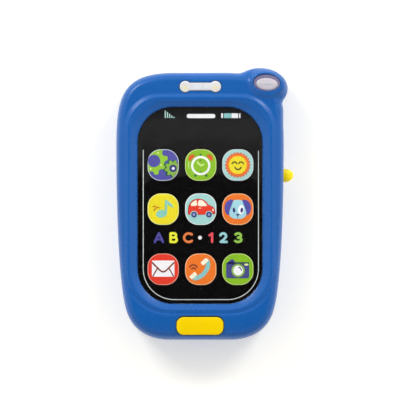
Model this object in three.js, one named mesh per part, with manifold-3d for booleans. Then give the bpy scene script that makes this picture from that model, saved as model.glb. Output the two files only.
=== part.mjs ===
// Toy cell phone: two blue shell halves round a touch screen, with a sprung home button, a side
// power knob, a lit window, a torch lens in the corner ear, a speaker and two AAA cells.
// Millimetres. X across, Y towards the phone's top, Z out of the screen. The back lies on Z = 0.
import * as THREE from 'three';
import { mergeVertices } from 'three/addons/utils/BufferGeometryUtils.js';
import Module from 'manifold-3d';

const wasm = await Module();
wasm.setup();

// Shell outline, right half, as cubic curves from the top middle to the bottom middle.
const HALF_W = 35.35;
const HALF_L = 56.35;
const OUTLINE = [
  [[10.6, HALF_L], [33.0, HALF_L], [HALF_W, 46.9], [HALF_W, 25.0]],
  [[HALF_W, 25.0], [HALF_W, 0.0], [34.4, -32.9], [31.1, -44.0]],
  [[31.1, -44.0], [28.5, -52.6], [21.5, -HALF_L], [12.8, -HALF_L]],
];
const OUTLINE_STEPS = [8, 4, 7];

// Shell heights.
const RIM_Z = 23;
const PART_Z = 11.5;
const GAP = 0.3;
const WALL = 2;
const ROOF_Z = RIM_Z - WALL;
const FRONT_EDGE = { across: 3.8, high: 6.0, power: 2.2 };
const BACK_EDGE = { across: 4.2, high: 5.0, power: 2.2 };

// Corner ear that carries the torch.
const EAR = { x: 25.4, y: 49.7, rx: 11.65, ry: 8.95, z0: 1.5, z1: 23.4, edge: 3.4 };
const TORCH = { x: 28.25, y: 52.4, rx: 5.85, ry: 3.4, turn: -0.1 };

// Screen opening and the stack below it.
const SCREEN = { halfW: 26.4, top: 41.9, bottom: -41.2, r: 15 };
const DISH = [[4.9, 23.8], [4.3, 23.0], [2.7, 22.2], [1.1, 21.55], [0, 21.25]];
const LENS_Z = [19.8, 21.2];
const PRINT_Z = [19.1, 19.5];
const LEDGE_Z = [17.6, 18.8];
const LEDGE_IN = 1.5;
const FRAME_OUT = 5.2;
const BOARD_Z = [15.0, 16.6];

const ICON_X = [-15.5, 0.3, 15.9];
const ICON_Y = [17.4, -1.2, -26.5];

const HOME = { y: -50.7, w: 19.9, h: 7.8, r: 3.0, top: 22.9, low: 19.2, travel: 1.0 };
const WINDOW = { y: 50.7, dx: 6.35, r: 2.4, bar: 3.3, top: 22.85 };
const KNOB = { y: 13.0, z: PART_Z, r: 2.65, tip: 39.45, travel: 2.5, stem: 3.0 };

const CASE_POSTS = [[27.5, 42.0], [-27.5, 42.0], [24.0, -43.5], [-24.0, -43.5]];
const BOARD_POSTS = [[27.4, 27.0], [-27.4, 27.0], [27.4, -11.0], [-27.4, -11.0]];
const SCREW_R = 1.1;

const SPEAKER = { x: 0, y: 22, r: 14 };
const CELL = { r: 5.25, length: 44.5, z: 7.35, ys: [-31.5, -20.5] };
const TRAY = { x: 25.3, y0: -37.2, y1: -14.8, roof: 12.9, wall: 1.3 };
const DOOR = { x: 27.2, y0: -39.5, y1: -12.5, thick: 1.7, r: 3.0, tabR: 4.2, screwY: -9.6 };
const DOOR_HOOK_X = [-14, 14];

// ---------- materials ----------
function material(hex, roughness, metalness = 0, opacity = 1) {
  return new THREE.MeshStandardMaterial({
    color: hex, roughness, metalness, opacity, transparent: opacity < 1,
  });
}
const MATS = {
  shell: material(0x2766ab, 0.38),
  yellow: material(0xf7d408, 0.4),
  lens: material(0x1a181c, 0.05, 0, 0.35),
  print: material(0x18161a, 0.5),
  window: material(0xf2f2ee, 0.35, 0, 0.85),
  clear: material(0xe8edf2, 0.08, 0, 0.35),
  board: material(0x1f6b3a, 0.6),
  rubber: material(0x3a3a3d, 0.8),
  silicone: material(0xd9d9d4, 0.6),
  led: material(0xf5efb0, 0.2, 0, 0.8),
  reflector: material(0xdfe3e8, 0.18, 0.9),
  switchCan: material(0xb5b8bc, 0.35, 0.9),
  black: material(0x1b1b1d, 0.5),
  paperCone: material(0x222224, 0.9),
  magnet: material(0x7d8084, 0.4, 0.9),
  steel: material(0xb9bcc0, 0.3, 0.95),
  brass: material(0xc9a24a, 0.35, 0.9),
  cell: material(0x4b5560, 0.4),
  capacitor: material(0x20252c, 0.45),
  wireRed: material(0xc23124, 0.5),
  wireBlack: material(0x202022, 0.5),
};

// ---------- solids ----------
function solid(geometry) {
  const g = geometry.clone();
  g.deleteAttribute('normal');
  g.deleteAttribute('uv');
  const m = mergeVertices(g, 1e-4);
  return new wasm.Manifold(new wasm.Mesh({
    numProp: 3,
    vertProperties: new Float32Array(m.attributes.position.array),
    triVerts: new Uint32Array(m.index.array),
  }));
}
function geometryOf(manifold) {
  const mesh = manifold.getMesh();
  const g = new THREE.BufferGeometry();
  g.setAttribute('position', new THREE.BufferAttribute(new Float32Array(mesh.vertProperties), 3));
  g.setIndex(new THREE.BufferAttribute(new Uint32Array(mesh.triVerts), 1));
  const flat = g.toNonIndexed();
  flat.computeVertexNormals();
  return flat;
}
function union(list) {
  return list.reduce((a, b) => a.add(b));
}
function cut(body, list) {
  return list.reduce((a, b) => a.subtract(b), body);
}

function box(x0, x1, y0, y1, z0, z1) {
  const g = new THREE.BoxGeometry(x1 - x0, y1 - y0, z1 - z0);
  return g.translate((x0 + x1) / 2, (y0 + y1) / 2, (z0 + z1) / 2);
}
function rod(x, y, z0, z1, r, sides = 20, rTop = r) {
  const g = new THREE.CylinderGeometry(rTop, r, z1 - z0, sides);
  return g.rotateX(Math.PI / 2).translate(x, y, (z0 + z1) / 2);
}
function lathe(profile, sides = 28) {
  const g = new THREE.LatheGeometry(profile.map(([r, z]) => new THREE.Vector2(r, z)), sides);
  return g.rotateX(Math.PI / 2);
}
function plate(shape, z0, z1, bevel = 0, curveSegments = 5) {
  const g = new THREE.ExtrudeGeometry(shape, {
    depth: z1 - z0 - 2 * bevel,
    bevelEnabled: bevel > 0,
    bevelThickness: bevel,
    bevelSize: bevel,
    bevelOffset: -bevel,
    bevelSegments: 1,
    curveSegments,
  });
  return g.translate(0, 0, z0 + bevel);
}

// Rings of points run counter-clockwise seen from +Z, lowest ring first.
function loft(rings) {
  const n = rings[0].length;
  const points = [];
  const index = [];
  rings.forEach((ring) => ring.forEach((p) => points.push(...p)));
  for (let k = 0; k < rings.length - 1; k += 1) {
    for (let i = 0; i < n; i += 1) {
      const a = k * n + i;
      const b = k * n + ((i + 1) % n);
      index.push(a, b, b + n, a, b + n, a + n);
    }
  }
  const ends = [rings[0], rings[rings.length - 1]];
  ends.forEach((ring, e) => {
    const centre = points.length / 3;
    const first = e === 0 ? 0 : (rings.length - 1) * n;
    const mean = [0, 1, 2].map((c) => ring.reduce((s, p) => s + p[c], 0) / n);
    points.push(...mean);
    for (let i = 0; i < n; i += 1) {
      const a = first + i;
      const b = first + ((i + 1) % n);
      index.push(...(e === 0 ? [centre, b, a] : [centre, a, b]));
    }
  });
  const g = new THREE.BufferGeometry();
  g.setAttribute('position', new THREE.Float32BufferAttribute(points, 3));
  g.setIndex(index);
  return g;
}

// ---------- outlines ----------
function bezier([p0, p1, p2, p3], t) {
  const s = 1 - t;
  return [0, 1].map((c) => s ** 3 * p0[c] + 3 * s * s * t * p1[c] + 3 * s * t * t * p2[c] + t ** 3 * p3[c]);
}
function shellOutline() {
  const right = [];
  OUTLINE.forEach((curve, k) => {
    for (let i = k === 0 ? 0 : 1; i <= OUTLINE_STEPS[k]; i += 1) {
      right.push(bezier(curve, i / OUTLINE_STEPS[k]));
    }
  });
  const up = right.slice().reverse();
  const left = right.map(([x, y]) => [-x, y]);
  return up.concat(left);
}
function screenOutline(grow, steps = 6) {
  const r = SCREEN.r + grow;
  const cx = SCREEN.halfW - SCREEN.r;
  const corners = [
    [cx, SCREEN.bottom + SCREEN.r, -Math.PI / 2],
    [cx, SCREEN.top - SCREEN.r, 0],
    [-cx, SCREEN.top - SCREEN.r, Math.PI / 2],
    [-cx, SCREEN.bottom + SCREEN.r, Math.PI],
  ];
  const points = [];
  corners.forEach(([x, y, start]) => {
    for (let i = 0; i <= steps; i += 1) {
      const a = start + (Math.PI / 2) * (i / steps);
      points.push([x + r * Math.cos(a), y + r * Math.sin(a)]);
    }
  });
  return points;
}
// Moves every point of a closed counter-clockwise outline inwards along its normal.
function inset(points, d) {
  const n = points.length;
  return points.map(([x, y], i) => {
    const [ax, ay] = points[(i + n - 1) % n];
    const [bx, by] = points[(i + 1) % n];
    const l = Math.hypot(bx - ax, by - ay);
    return [x - (d * (by - ay)) / l, y + (d * (bx - ax)) / l];
  });
}
function ring(points, z) {
  return points.map(([x, y]) => [x, y, z]);
}
function shapeOf(points) {
  return new THREE.Shape(points.map(([x, y]) => new THREE.Vector2(x, y)));
}
function roundRect(cx, cy, w, h, r) {
  const s = new THREE.Shape();
  const [x0, x1, y0, y1] = [cx - w / 2, cx + w / 2, cy - h / 2, cy + h / 2];
  s.moveTo(x0 + r, y0);
  s.lineTo(x1 - r, y0);
  s.absarc(x1 - r, y0 + r, r, -Math.PI / 2, 0);
  s.lineTo(x1, y1 - r);
  s.absarc(x1 - r, y1 - r, r, 0, Math.PI / 2);
  s.lineTo(x0 + r, y1);
  s.absarc(x0 + r, y1 - r, r, Math.PI / 2, Math.PI);
  s.lineTo(x0, y0 + r);
  s.absarc(x0 + r, y0 + r, r, Math.PI, 1.5 * Math.PI);
  return s;
}
function dumbbell(grow) {
  const r = WINDOW.r + grow;
  const half = WINDOW.bar / 2 + grow;
  const a = Math.asin(half / r);
  const s = new THREE.Shape();
  s.absarc(WINDOW.dx, WINDOW.y, r, -Math.PI + a, Math.PI - a);
  s.absarc(-WINDOW.dx, WINDOW.y, r, a, 2 * Math.PI - a);
  return s;
}
function ellipse(cx, cy, rx, ry, turn = 0, steps = 22) {
  const points = [];
  for (let i = 0; i < steps; i += 1) {
    const t = (2 * Math.PI * i) / steps;
    const [u, v] = [rx * Math.cos(t), ry * Math.sin(t)];
    points.push([cx + u * Math.cos(turn) - v * Math.sin(turn), cy + u * Math.sin(turn) + v * Math.cos(turn)]);
  }
  return points;
}

// Levels of a rounded edge, as pairs of inset and height, from the wall to the flat.
function edgeLevels(edge, steps) {
  const levels = [];
  for (let i = 0; i <= steps; i += 1) {
    const a = (Math.PI / 2) * (i / steps);
    const side = edge.across * (1 - Math.cos(a) ** (2 / edge.power));
    levels.push([side, edge.high * Math.sin(a) ** (2 / edge.power)]);
  }
  return levels;
}

// ---------- shells ----------
const BODY = shellOutline();

function earLoft(grow, z0, z1) {
  const low = EAR.z0 - grow;
  const top = EAR.z1 + grow;
  const levels = [[EAR.edge, low], [EAR.edge * 0.4, low + 0.7], [0, low + 3.6],
    [0, top - 4.2], [0.6, top - 1.9], [EAR.edge * 0.45, top - 0.6], [EAR.edge, top]];
  const oval = (d) => ellipse(EAR.x, EAR.y, EAR.rx + grow - d, EAR.ry + grow - d);
  return solid(loft(levels.map(([d, z]) => ring(oval(d), z)))).intersect(solid(box(0, 60, 20, 80, z0, z1)));
}
function frontOuter() {
  const levels = edgeLevels(FRONT_EDGE, 4).map(([d, h]) => [0.25 + d, RIM_Z - FRONT_EDGE.high + h]);
  const rings = [[0, PART_Z + GAP / 2], ...levels].map(([d, z]) => ring(inset(BODY, d), z));
  return solid(loft(rings)).add(earLoft(0, PART_Z + GAP / 2, 40));
}
function frontInner() {
  const low = PART_Z - 2;
  const rings = [[WALL, low], [WALL + 0.2, RIM_Z - 6.5], [WALL + 1.2, ROOF_Z - 1.5],
    [WALL + 3.4, ROOF_Z]].map(([d, z]) => ring(inset(BODY, d), z));
  return solid(loft(rings)).add(earLoft(-WALL, low, 40));
}
function backOuter() {
  const levels = edgeLevels(BACK_EDGE, 4).reverse().map(([d, h]) => [0.3 + d, BACK_EDGE.high - h]);
  const rings = [...levels, [0, PART_Z - GAP / 2]].map(([d, z]) => ring(inset(BODY, d), z));
  return solid(loft(rings)).add(earLoft(0, 0, PART_Z - GAP / 2));
}
function backInner() {
  const top = PART_Z + 2;
  const rings = [[WALL + 3.4, WALL], [WALL + 1.2, WALL + 1.5], [WALL, WALL + 5],
    [WALL, top]].map(([d, z]) => ring(inset(BODY, d), z));
  return solid(loft(rings)).add(earLoft(-WALL, 0, top));
}
function screenSolid(grow, z0, z1) {
  return solid(loft([ring(screenOutline(grow), z0), ring(screenOutline(grow), z1)]));
}
function knobCutters() {
  const slot = KNOB.stem / 2 + KNOB.travel + GAP;
  const high = KNOB.stem / 2 + GAP;
  return [
    solid(box(HALF_W - 5, HALF_W + 3, KNOB.y - slot, KNOB.y + slot, KNOB.z - high, KNOB.z + high)),
    solid(box(HALF_W - 0.9, HALF_W + 3, KNOB.y - 7, KNOB.y + 7, KNOB.z - 3.3, KNOB.z + 3.3)),
  ];
}

function frontCover() {
  const frame = screenSolid(FRAME_OUT, LEDGE_Z[0], RIM_Z - 0.4);
  const posts = CASE_POSTS.map(([x, y]) => solid(rod(x, y, PART_Z + GAP / 2, ROOF_Z + 0.6, 3.0, 12)));
  const boardPosts = BOARD_POSTS.map(([x, y]) => solid(rod(x, y, BOARD_Z[1] + GAP, LEDGE_Z[0] + 1, 2.4, 10)));
  const pad = solid(plate(roundRect(0, HOME.y, HOME.w + 3, HOME.h + 1.6, 3.4), ROOF_Z - 0.1, RIM_Z - 0.5))
    .intersect(frontOuter());
  let body = union([frontOuter().subtract(frontInner()), frame, pad, ...boardPosts]);
  body = body.add(union(posts).intersect(frontOuter()));
  const dish = solid(loft(DISH.slice().reverse().map(([d, z]) => ring(screenOutline(d), z))));
  const torchHole = solid(plate(shapeOf(ellipse(TORCH.x, TORCH.y, TORCH.rx, TORCH.ry, TORCH.turn)), 18, 30));
  return cut(body, [
    dish,
    screenSolid(0, LEDGE_Z[1], 22),
    screenSolid(-LEDGE_IN, 10, 22),
    torchHole,
    solid(plate(roundRect(0, HOME.y, HOME.w + 0.7, HOME.h + 0.7, HOME.r + 0.35), 17, 30)),
    solid(plate(dumbbell(0.3), 17, 30)),
    ...CASE_POSTS.map(([x, y]) => solid(rod(x, y, 8, 18.5, SCREW_R + GAP, 8))),
    ...BOARD_POSTS.map(([x, y]) => solid(rod(x, y, 15, 20.2, SCREW_R + GAP, 8))),
    ...knobCutters(),
  ]);
}

function doorShape(grow) {
  const w = 2 * (DOOR.x + grow);
  const h = DOOR.y1 - DOOR.y0 + 2 * grow;
  return roundRect(0, (DOOR.y0 + DOOR.y1) / 2, w, h, DOOR.r + grow);
}
function backCover() {
  const shell = backOuter().subtract(backInner());
  const slab = (d, z0, z1) => solid(loft([ring(inset(BODY, d), z0), ring(inset(BODY, d), z1)]));
  const lip = slab(WALL + GAP, PART_Z - 2.5, PART_Z + 1.4)
    .add(slab(WALL - 0.4, PART_Z - 2.5, PART_Z - 1.2))
    .subtract(slab(WALL + 1.4, PART_Z - 4, PART_Z + 3));
  const posts = CASE_POSTS.map(([x, y]) => solid(rod(x, y, 0.4, PART_Z - GAP / 2, 3.8, 12)));
  const t = TRAY;
  const tray = solid(box(-t.x - t.wall, t.x + t.wall, t.y0 - t.wall, t.y1 + t.wall, 1.2, t.roof + 1));
  const flange = solid(plate(doorShape(1.6), WALL - 0.5, WALL + 1.2));
  const nutBoss = solid(rod(0, DOOR.screwY, 1.2, 7.4, 4.0, 12));
  const spRing = solid(rod(SPEAKER.x, SPEAKER.y, 1.4, 6, SPEAKER.r + 1.7, 20))
    .subtract(solid(rod(SPEAKER.x, SPEAKER.y, 0, 8, SPEAKER.r + 0.4, 20)));
  let body = union([shell, lip, tray, flange, nutBoss, spRing]);
  body = body.add(union(posts).intersect(backOuter()));
  const grille = [];
  [[0, 1], [4.6, 6], [9.2, 11]].forEach(([r, count]) => {
    for (let i = 0; i < count; i += 1) {
      const a = (2 * Math.PI * i) / count;
      grille.push(solid(rod(SPEAKER.x + r * Math.cos(a), SPEAKER.y + r * Math.sin(a), -1, 3, 1.2, 7)));
    }
  });
  return cut(body, [
    ...grille,
    ...CASE_POSTS.map(([x, y]) => solid(rod(x, y, -1, 5.6, 2.6, 12))),
    ...CASE_POSTS.map(([x, y]) => solid(rod(x, y, 5, 13, SCREW_R + GAP, 8))),
    ...CASE_POSTS.map(([x, y]) => solid(rod(x, y, PART_Z - GAP / 2, 15, 3.4, 12))),
    solid(plate(doorShape(GAP), -1, WALL)),
    solid(rod(0, DOOR.screwY, -1, WALL, DOOR.tabR + GAP, 16)),
    solid(box(-t.x, t.x, t.y0, t.y1, -1, t.roof)),
    ...DOOR_HOOK_X.map((x) => solid(box(x - 3.5, x + 3.5, -42.4, t.y0 + 0.2, WALL, 4.4))),
    solid(rod(0, DOOR.screwY, -1, 4.1, 2.1, 12)),
    solid(box(-2.7, 2.7, DOOR.screwY - 2.7, DOOR.screwY + 2.7, 4.0, 8)),
    solid(box(HALF_W - 6, HALF_W - 1.9, KNOB.y - 10.2, KNOB.y + 10.2, KNOB.z - 2.6, 16)),
    ...knobCutters(),
  ]);
}

function batteryDoor() {
  const panel = solid(plate(doorShape(0), 0.05, DOOR.thick, 0.3, 3));
  const tab = solid(rod(0, DOOR.screwY, 0.05, DOOR.thick, DOOR.tabR, 16));
  const hooks = DOOR_HOOK_X.map((x) => solid(box(x - 3, x + 3, DOOR.y0 + 0.1, DOOR.y0 + 1.3, 1.2, 3.3))
    .add(solid(box(x - 3, x + 3, DOOR.y0 - 1.8, DOOR.y0 + 1.3, WALL + GAP, 3.3))));
  const ribs = [-16, -8, 8, 16].map((x) => solid(box(x - 0.5, x + 0.5, -26.6, -25.4, 1.2, 2.6)));
  return cut(union([panel, tab, ...hooks, ...ribs]), [
    solid(rod(0, DOOR.screwY, -1, 5, SCREW_R + GAP, 12)),
    solid(rod(0, DOOR.screwY, -1, 1.0, 2.5, 14)),
  ]);
}

// ---------- small parts ----------
function screw(x, y, z0, headH, headR, length, sides = 10) {
  const end = headH + length;
  const head = solid(lathe([[0, 0], [headR, 0], [headR, headH], [SCREW_R, headH], [SCREW_R, end - 0.8],
    [0.25, end], [0, end]], sides));
  const [w, l, depth] = [0.28, headR * 0.7, headH * 0.55];
  const slots = [solid(box(-l, l, -w, w, -1, depth)), solid(box(-w, w, -l, l, -1, depth))];
  return cut(head, slots).translate([x, y, z0]);
}
function homeButton() {
  const cap = solid(plate(roundRect(0, HOME.y, HOME.w, HOME.h, HOME.r), HOME.low, HOME.top, 0.45, 6));
  const flange = solid(box(-12.3, 12.3, HOME.y - 1.0, HOME.y + 3.7, HOME.low, ROOF_Z - 0.5));
  const stem = solid(rod(0, HOME.y, HOME.low - 0.5, HOME.low + 0.5, 1.8, 16));
  return union([cap, flange, stem]);
}
function homeDome() {
  const [z0, z1] = [BOARD_Z[1] + GAP, HOME.low - 0.5 - GAP];
  return lathe([[0, z1 - 0.7], [1.0, z1 - 0.7], [2.3, z0 + 0.3], [2.6, z0], [3.4, z0], [3.4, z0 + 0.5],
    [2.6, z0 + 0.6], [1.7, z1], [0, z1]], 14).translate(0, HOME.y, 0);
}
function lightWindow() {
  const face = solid(plate(dumbbell(0), ROOF_Z - 1.2, WINDOW.top, 0.25, 7));
  const flange = solid(plate(dumbbell(1.2), ROOF_Z - 1.6, ROOF_Z - 0.4, 0, 7))
    .intersect(solid(box(-12, 12, WINDOW.y - 3.2, WINDOW.y + 0.9, 10, 30)));
  return face.add(flange);
}
function led(x, y, z0, tall) {
  const r = 1.5;
  return lathe([[0, z0], [1.75, z0], [1.75, z0 + 0.6], [r, z0 + 0.6], [r, z0 + tall - 0.9],
    [r * 0.7, z0 + tall - 0.25], [0, z0 + tall]], 12).translate(x, y, 0);
}
function torchLens() {
  const levels = [[0, 22.0], [0, 22.8], [0.35, 23.1], [1.6, 23.3]];
  const oval = (d) => ellipse(TORCH.x, TORCH.y, TORCH.rx - GAP - d, TORCH.ry - GAP - d, TORCH.turn);
  return loft(levels.map(([d, z]) => ring(oval(d), z)));
}
function torchReflector() {
  const throat = 2.2;
  const oval = (k, grow) => ellipse(TORCH.x, TORCH.y, throat + (TORCH.rx - GAP - throat) * k + grow,
    throat + (TORCH.ry - GAP - throat) * k + grow, TORCH.turn, 16);
  const cup = (grow, levels) => solid(loft(levels.map(([k, z]) => ring(oval(k, grow), z))));
  return cup(0, [[0, 17.6], [0.55, 19.4], [1, 21.6]])
    .subtract(cup(-0.45, [[0, 17.0], [0.2, 18.2], [0.65, 19.9], [1, 21.8]]));
}
function powerKnob() {
  const cap = lathe([[0, 0], [KNOB.r, 0], [KNOB.r, 2.4], [KNOB.r * 0.93, 3.4], [KNOB.r * 0.7, 4.2],
    [KNOB.r * 0.38, 4.65], [0, 4.75]], 16).rotateY(Math.PI / 2).translate(KNOB.tip - 4.75, KNOB.y, KNOB.z);
  const h = KNOB.stem / 2;
  const stem = box(31.6, 35.2, KNOB.y - h, KNOB.y + h, KNOB.z - h, KNOB.z + h);
  const shoe = box(31.6, 32.8, KNOB.y - 7, KNOB.y + 7, KNOB.z - 2.1, KNOB.z + 2.1);
  const pocket = box(30, 33.6, KNOB.y - 1.1, KNOB.y + 1.1, KNOB.z - 1.2, KNOB.z + 1.2);
  return union([solid(cap), solid(stem), solid(shoe)]).subtract(solid(pocket));
}
function switchBody() {
  const can = solid(box(26.4, 31.0, KNOB.y - 6.2, KNOB.y + 6.2, 9.1, BOARD_Z[0] - GAP));
  const slot = solid(box(29.0, 32, KNOB.y - 3.8, KNOB.y + 3.8, KNOB.z - 1.5, KNOB.z + 1.5));
  return can.subtract(slot);
}
function speakerFrame() {
  return lathe([[0, 6.0], [6.6, 6.0], [10.6, 3.6], [13.0, 3.1], [13.0, 2.4], [14.0, 2.4], [14.0, 3.9],
    [11.2, 4.4], [7.4, 6.9], [0, 6.9]], 20).translate(SPEAKER.x, SPEAKER.y, 0);
}
function speakerCone() {
  const profile = [[0, 3.2], [2.6, 3.7], [3.4, 4.4], [4.2, 4.4], [9.6, 2.9], [10.8, 2.5], [12.0, 2.6],
    [12.6, 2.7], [12.6, 2.9], [11.0, 2.9], [10.2, 3.2], [5.0, 5.2], [0, 5.2]];
  return lathe(profile, 14).translate(SPEAKER.x, SPEAKER.y, 0);
}
function speakerMagnet() {
  const profile = [[0, 7.2], [7.6, 7.2], [7.6, 9.6], [7.0, 10.0], [0, 10.0]];
  return lathe(profile, 20).translate(SPEAKER.x, SPEAKER.y, 0);
}
function cell(k) {
  const sign = k === 0 ? 1 : -1;
  const l = CELL.length;
  const g = lathe([[0, 0], [4.6, 0], [CELL.r, 0.5], [CELL.r, l - 1.8], [4.7, l - 1.1], [1.9, l - 1.0],
    [1.9, l - 0.1], [1.6, l], [0, l]], 18);
  g.rotateY((sign * Math.PI) / 2);
  return g.translate(sign * (24.2 - l), CELL.ys[k], CELL.z);
}
function coil(x0, x1, y, r0, r1, turns) {
  const points = [];
  const steps = turns * 9;
  for (let i = 0; i <= steps; i += 1) {
    const t = i / steps;
    const a = 2 * Math.PI * turns * t;
    const r = r0 + (r1 - r0) * t;
    points.push(new THREE.Vector3(x0 + (x1 - x0) * t, y + r * Math.cos(a), CELL.z + r * Math.sin(a)));
  }
  return sweep(points, 0.32, steps, 4);
}
function sweep(points, r, steps, sides = 6) {
  const section = shapeOf(ellipse(0, 0, r, r, 0, sides));
  return new THREE.ExtrudeGeometry(section, {
    steps, extrudePath: new THREE.CatmullRomCurve3(points), bevelEnabled: false,
  });
}
function wire(list) {
  return sweep(list.map((p) => new THREE.Vector3(...p)), 0.6, list.length * 4, 5);
}
function boardShape() {
  const half = [[9, -44.0], [18, -43.4], [29.5, -28.5], [29.5, 31.0], [21.5, 43.0]];
  const arm = [[21.5, 47.6], [30.8, 48.6], [31.2, 52.0], [30.4, 54.1], [25.5, 54.5], [20, 53.2],
    [-9, 53.2], [-9, 44]];
  const left = half.slice().reverse().map(([x, y]) => [-x, y]);
  const s = shapeOf([[-8, -53.4], [8, -53.4], ...half, ...arm, ...left]);
  BOARD_POSTS.forEach(([x, y]) => {
    const hole = new THREE.Path();
    hole.absarc(x, y, SCREW_R + GAP, 0, 2 * Math.PI, true);
    s.holes.push(hole);
  });
  return s;
}

// ---------- assembly ----------
const root = new THREE.Group();
root.name = 'toy_cell_phone';

function add(name, shape, mat) {
  const g = shape.isBufferGeometry ? shape : geometryOf(shape);
  const mesh = new THREE.Mesh(g, mat.clone());
  mesh.name = name;
  root.add(mesh);
}

add('front_cover', frontCover(), MATS.shell);
add('back_cover', backCover(), MATS.shell);
add('battery_door', batteryDoor(), MATS.shell);
add('screen_lens', plate(shapeOf(screenOutline(-GAP)), LENS_Z[0], LENS_Z[1], 0.2), MATS.lens);
add('screen_print', plate(shapeOf(screenOutline(-GAP)), PRINT_Z[0], PRINT_Z[1]), MATS.print);
add('main_board', plate(boardShape(), BOARD_Z[0], BOARD_Z[1], 0, 5), MATS.board);
ICON_Y.forEach((y, row) => ICON_X.forEach((x, col) => {
  const pad = box(x - 4.2, x + 4.2, y - 4.2, y + 4.2, BOARD_Z[1] + GAP, PRINT_Z[0] - GAP);
  add(`touch_pad_${row * 3 + col + 1}`, pad, MATS.rubber);
}));
add('home_button', homeButton(), MATS.yellow);
add('home_dome', homeDome(), MATS.silicone);
add('light_window', lightWindow(), MATS.window);
add('led_left', led(-WINDOW.dx, WINDOW.y, BOARD_Z[1] + GAP, 2.2), MATS.led);
add('led_right', led(WINDOW.dx, WINDOW.y, BOARD_Z[1] + GAP, 2.2), MATS.led);
add('torch_lens', torchLens(), MATS.clear);
add('torch_reflector', torchReflector(), MATS.reflector);
add('torch_led', led(TORCH.x, TORCH.y, BOARD_Z[1] + GAP, 3.4), MATS.led);
add('power_knob', powerKnob(), MATS.yellow);
add('switch_slider', box(29.4, 33.2, KNOB.y - 0.75, KNOB.y + 0.75, KNOB.z - 0.85, KNOB.z + 0.85), MATS.black);
add('switch_body', switchBody(), MATS.switchCan);
add('speaker_frame', speakerFrame(), MATS.switchCan);
add('speaker_cone', speakerCone(), MATS.paperCone);
add('speaker_magnet', speakerMagnet(), MATS.magnet);
add('sound_chip', lathe([[0, -1.5], [2.4, -1.35], [4.2, -0.7], [4.9, 0], [0, 0]], 20)
  .translate(-13, 33, BOARD_Z[0] - GAP), MATS.black);
add('capacitor', lathe([[0, 7.4], [2.6, 7.4], [2.9, 7.8], [2.9, 14.0], [2.6, 14.7], [0, 14.7]], 18)
  .translate(20, 36, 0), MATS.capacitor);
add('battery_1', cell(0), MATS.cell);
add('battery_2', cell(1), MATS.cell);
add('battery_bridge', box(-24.9, -24.5, -36.2, -15.8, 3.4, 11.3), MATS.steel);
add('bridge_spring', coil(-23.85, -20.95, CELL.ys[0], 3.4, 2.4, 3), MATS.steel);
add('contact_positive', box(24.5, 24.9, CELL.ys[0] - 4, CELL.ys[0] + 4, 3.4, 11.3), MATS.steel);
add('contact_negative', box(24.5, 24.9, CELL.ys[1] - 4, CELL.ys[1] + 4, 3.4, 11.3), MATS.steel);
add('negative_spring', coil(23.85, 20.95, CELL.ys[1], 3.4, 2.4, 3), MATS.steel);
add('door_screw', screw(0, DOOR.screwY, 0.15, 0.55, 2.1, 4.7, 16), MATS.steel);
add('door_nut', solid(box(-2.4, 2.4, DOOR.screwY - 2.4, DOOR.screwY + 2.4, 4.4, 6.0))
  .subtract(solid(rod(0, DOOR.screwY, 3, 8, SCREW_R + GAP, 16))), MATS.brass);
CASE_POSTS.forEach(([x, y], i) => {
  add(`case_screw_${i + 1}`, screw(x, y, 3.7, 1.6, 2.2, 12.5, 10), MATS.steel);
});
BOARD_POSTS.forEach(([x, y], i) => {
  add(`board_screw_${i + 1}`, screw(x, y, BOARD_Z[0] - 1.5, 1.2, 2.2, 5.2, 8), MATS.steel);
});
add('wire_battery_red', wire([[27.8, -31.5, 9.0], [28.3, -26, 10.8], [28.3, -18, 11.8], [27.2, -11.5, 12.2],
  [23.5, -7.5, 13.0], [20, -6, 14.1]]), MATS.wireRed);
add('wire_battery_black', wire([[27.8, -20.5, 9.0], [28.3, -16, 9.8], [27.6, -8, 11.2], [24, -1.5, 12.8],
  [20, 1, 14.1]]), MATS.wireBlack);
add('wire_speaker_red', wire([[-8.8, 17, 8.4], [-12, 14, 9.2], [-15, 8, 11.4], [-14, 2, 13.2],
  [-11, -1, 14.1]]), MATS.wireRed);
add('wire_speaker_black', wire([[-8.8, 21, 8.4], [-14, 17, 9.6], [-18, 10, 11.6], [-18, 3, 13.2],
  [-15, 0, 14.1]]), MATS.wireBlack);

export default root;
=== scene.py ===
"""Looks of the toy cell phone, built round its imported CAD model.

The helpers below take millimetres, in the shared frame, and make Blender objects in metres.
"""
import math

import bmesh
import bpy
import numpy as np
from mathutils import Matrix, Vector


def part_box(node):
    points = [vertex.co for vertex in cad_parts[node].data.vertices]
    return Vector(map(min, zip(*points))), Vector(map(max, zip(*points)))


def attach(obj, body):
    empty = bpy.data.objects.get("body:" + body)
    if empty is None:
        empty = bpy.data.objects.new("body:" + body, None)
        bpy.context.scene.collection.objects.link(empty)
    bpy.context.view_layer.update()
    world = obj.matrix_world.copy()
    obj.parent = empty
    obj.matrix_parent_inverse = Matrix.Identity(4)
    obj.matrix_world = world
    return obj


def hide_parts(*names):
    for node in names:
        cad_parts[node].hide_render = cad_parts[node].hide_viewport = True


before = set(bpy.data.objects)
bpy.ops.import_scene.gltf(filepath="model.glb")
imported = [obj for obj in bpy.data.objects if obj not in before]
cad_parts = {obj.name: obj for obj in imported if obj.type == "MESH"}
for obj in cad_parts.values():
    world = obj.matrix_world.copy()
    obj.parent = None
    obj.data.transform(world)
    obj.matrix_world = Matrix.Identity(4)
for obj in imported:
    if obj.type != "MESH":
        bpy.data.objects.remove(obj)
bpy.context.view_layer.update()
MM = 0.001


def node_box(name):
    """Lowest and highest corner of a CAD node, in millimetres."""
    low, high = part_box(name)
    return np.array(low) / MM, np.array(high) / MM


def node_middle(name):
    low, high = node_box(name)
    return (low + high) / 2


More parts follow.
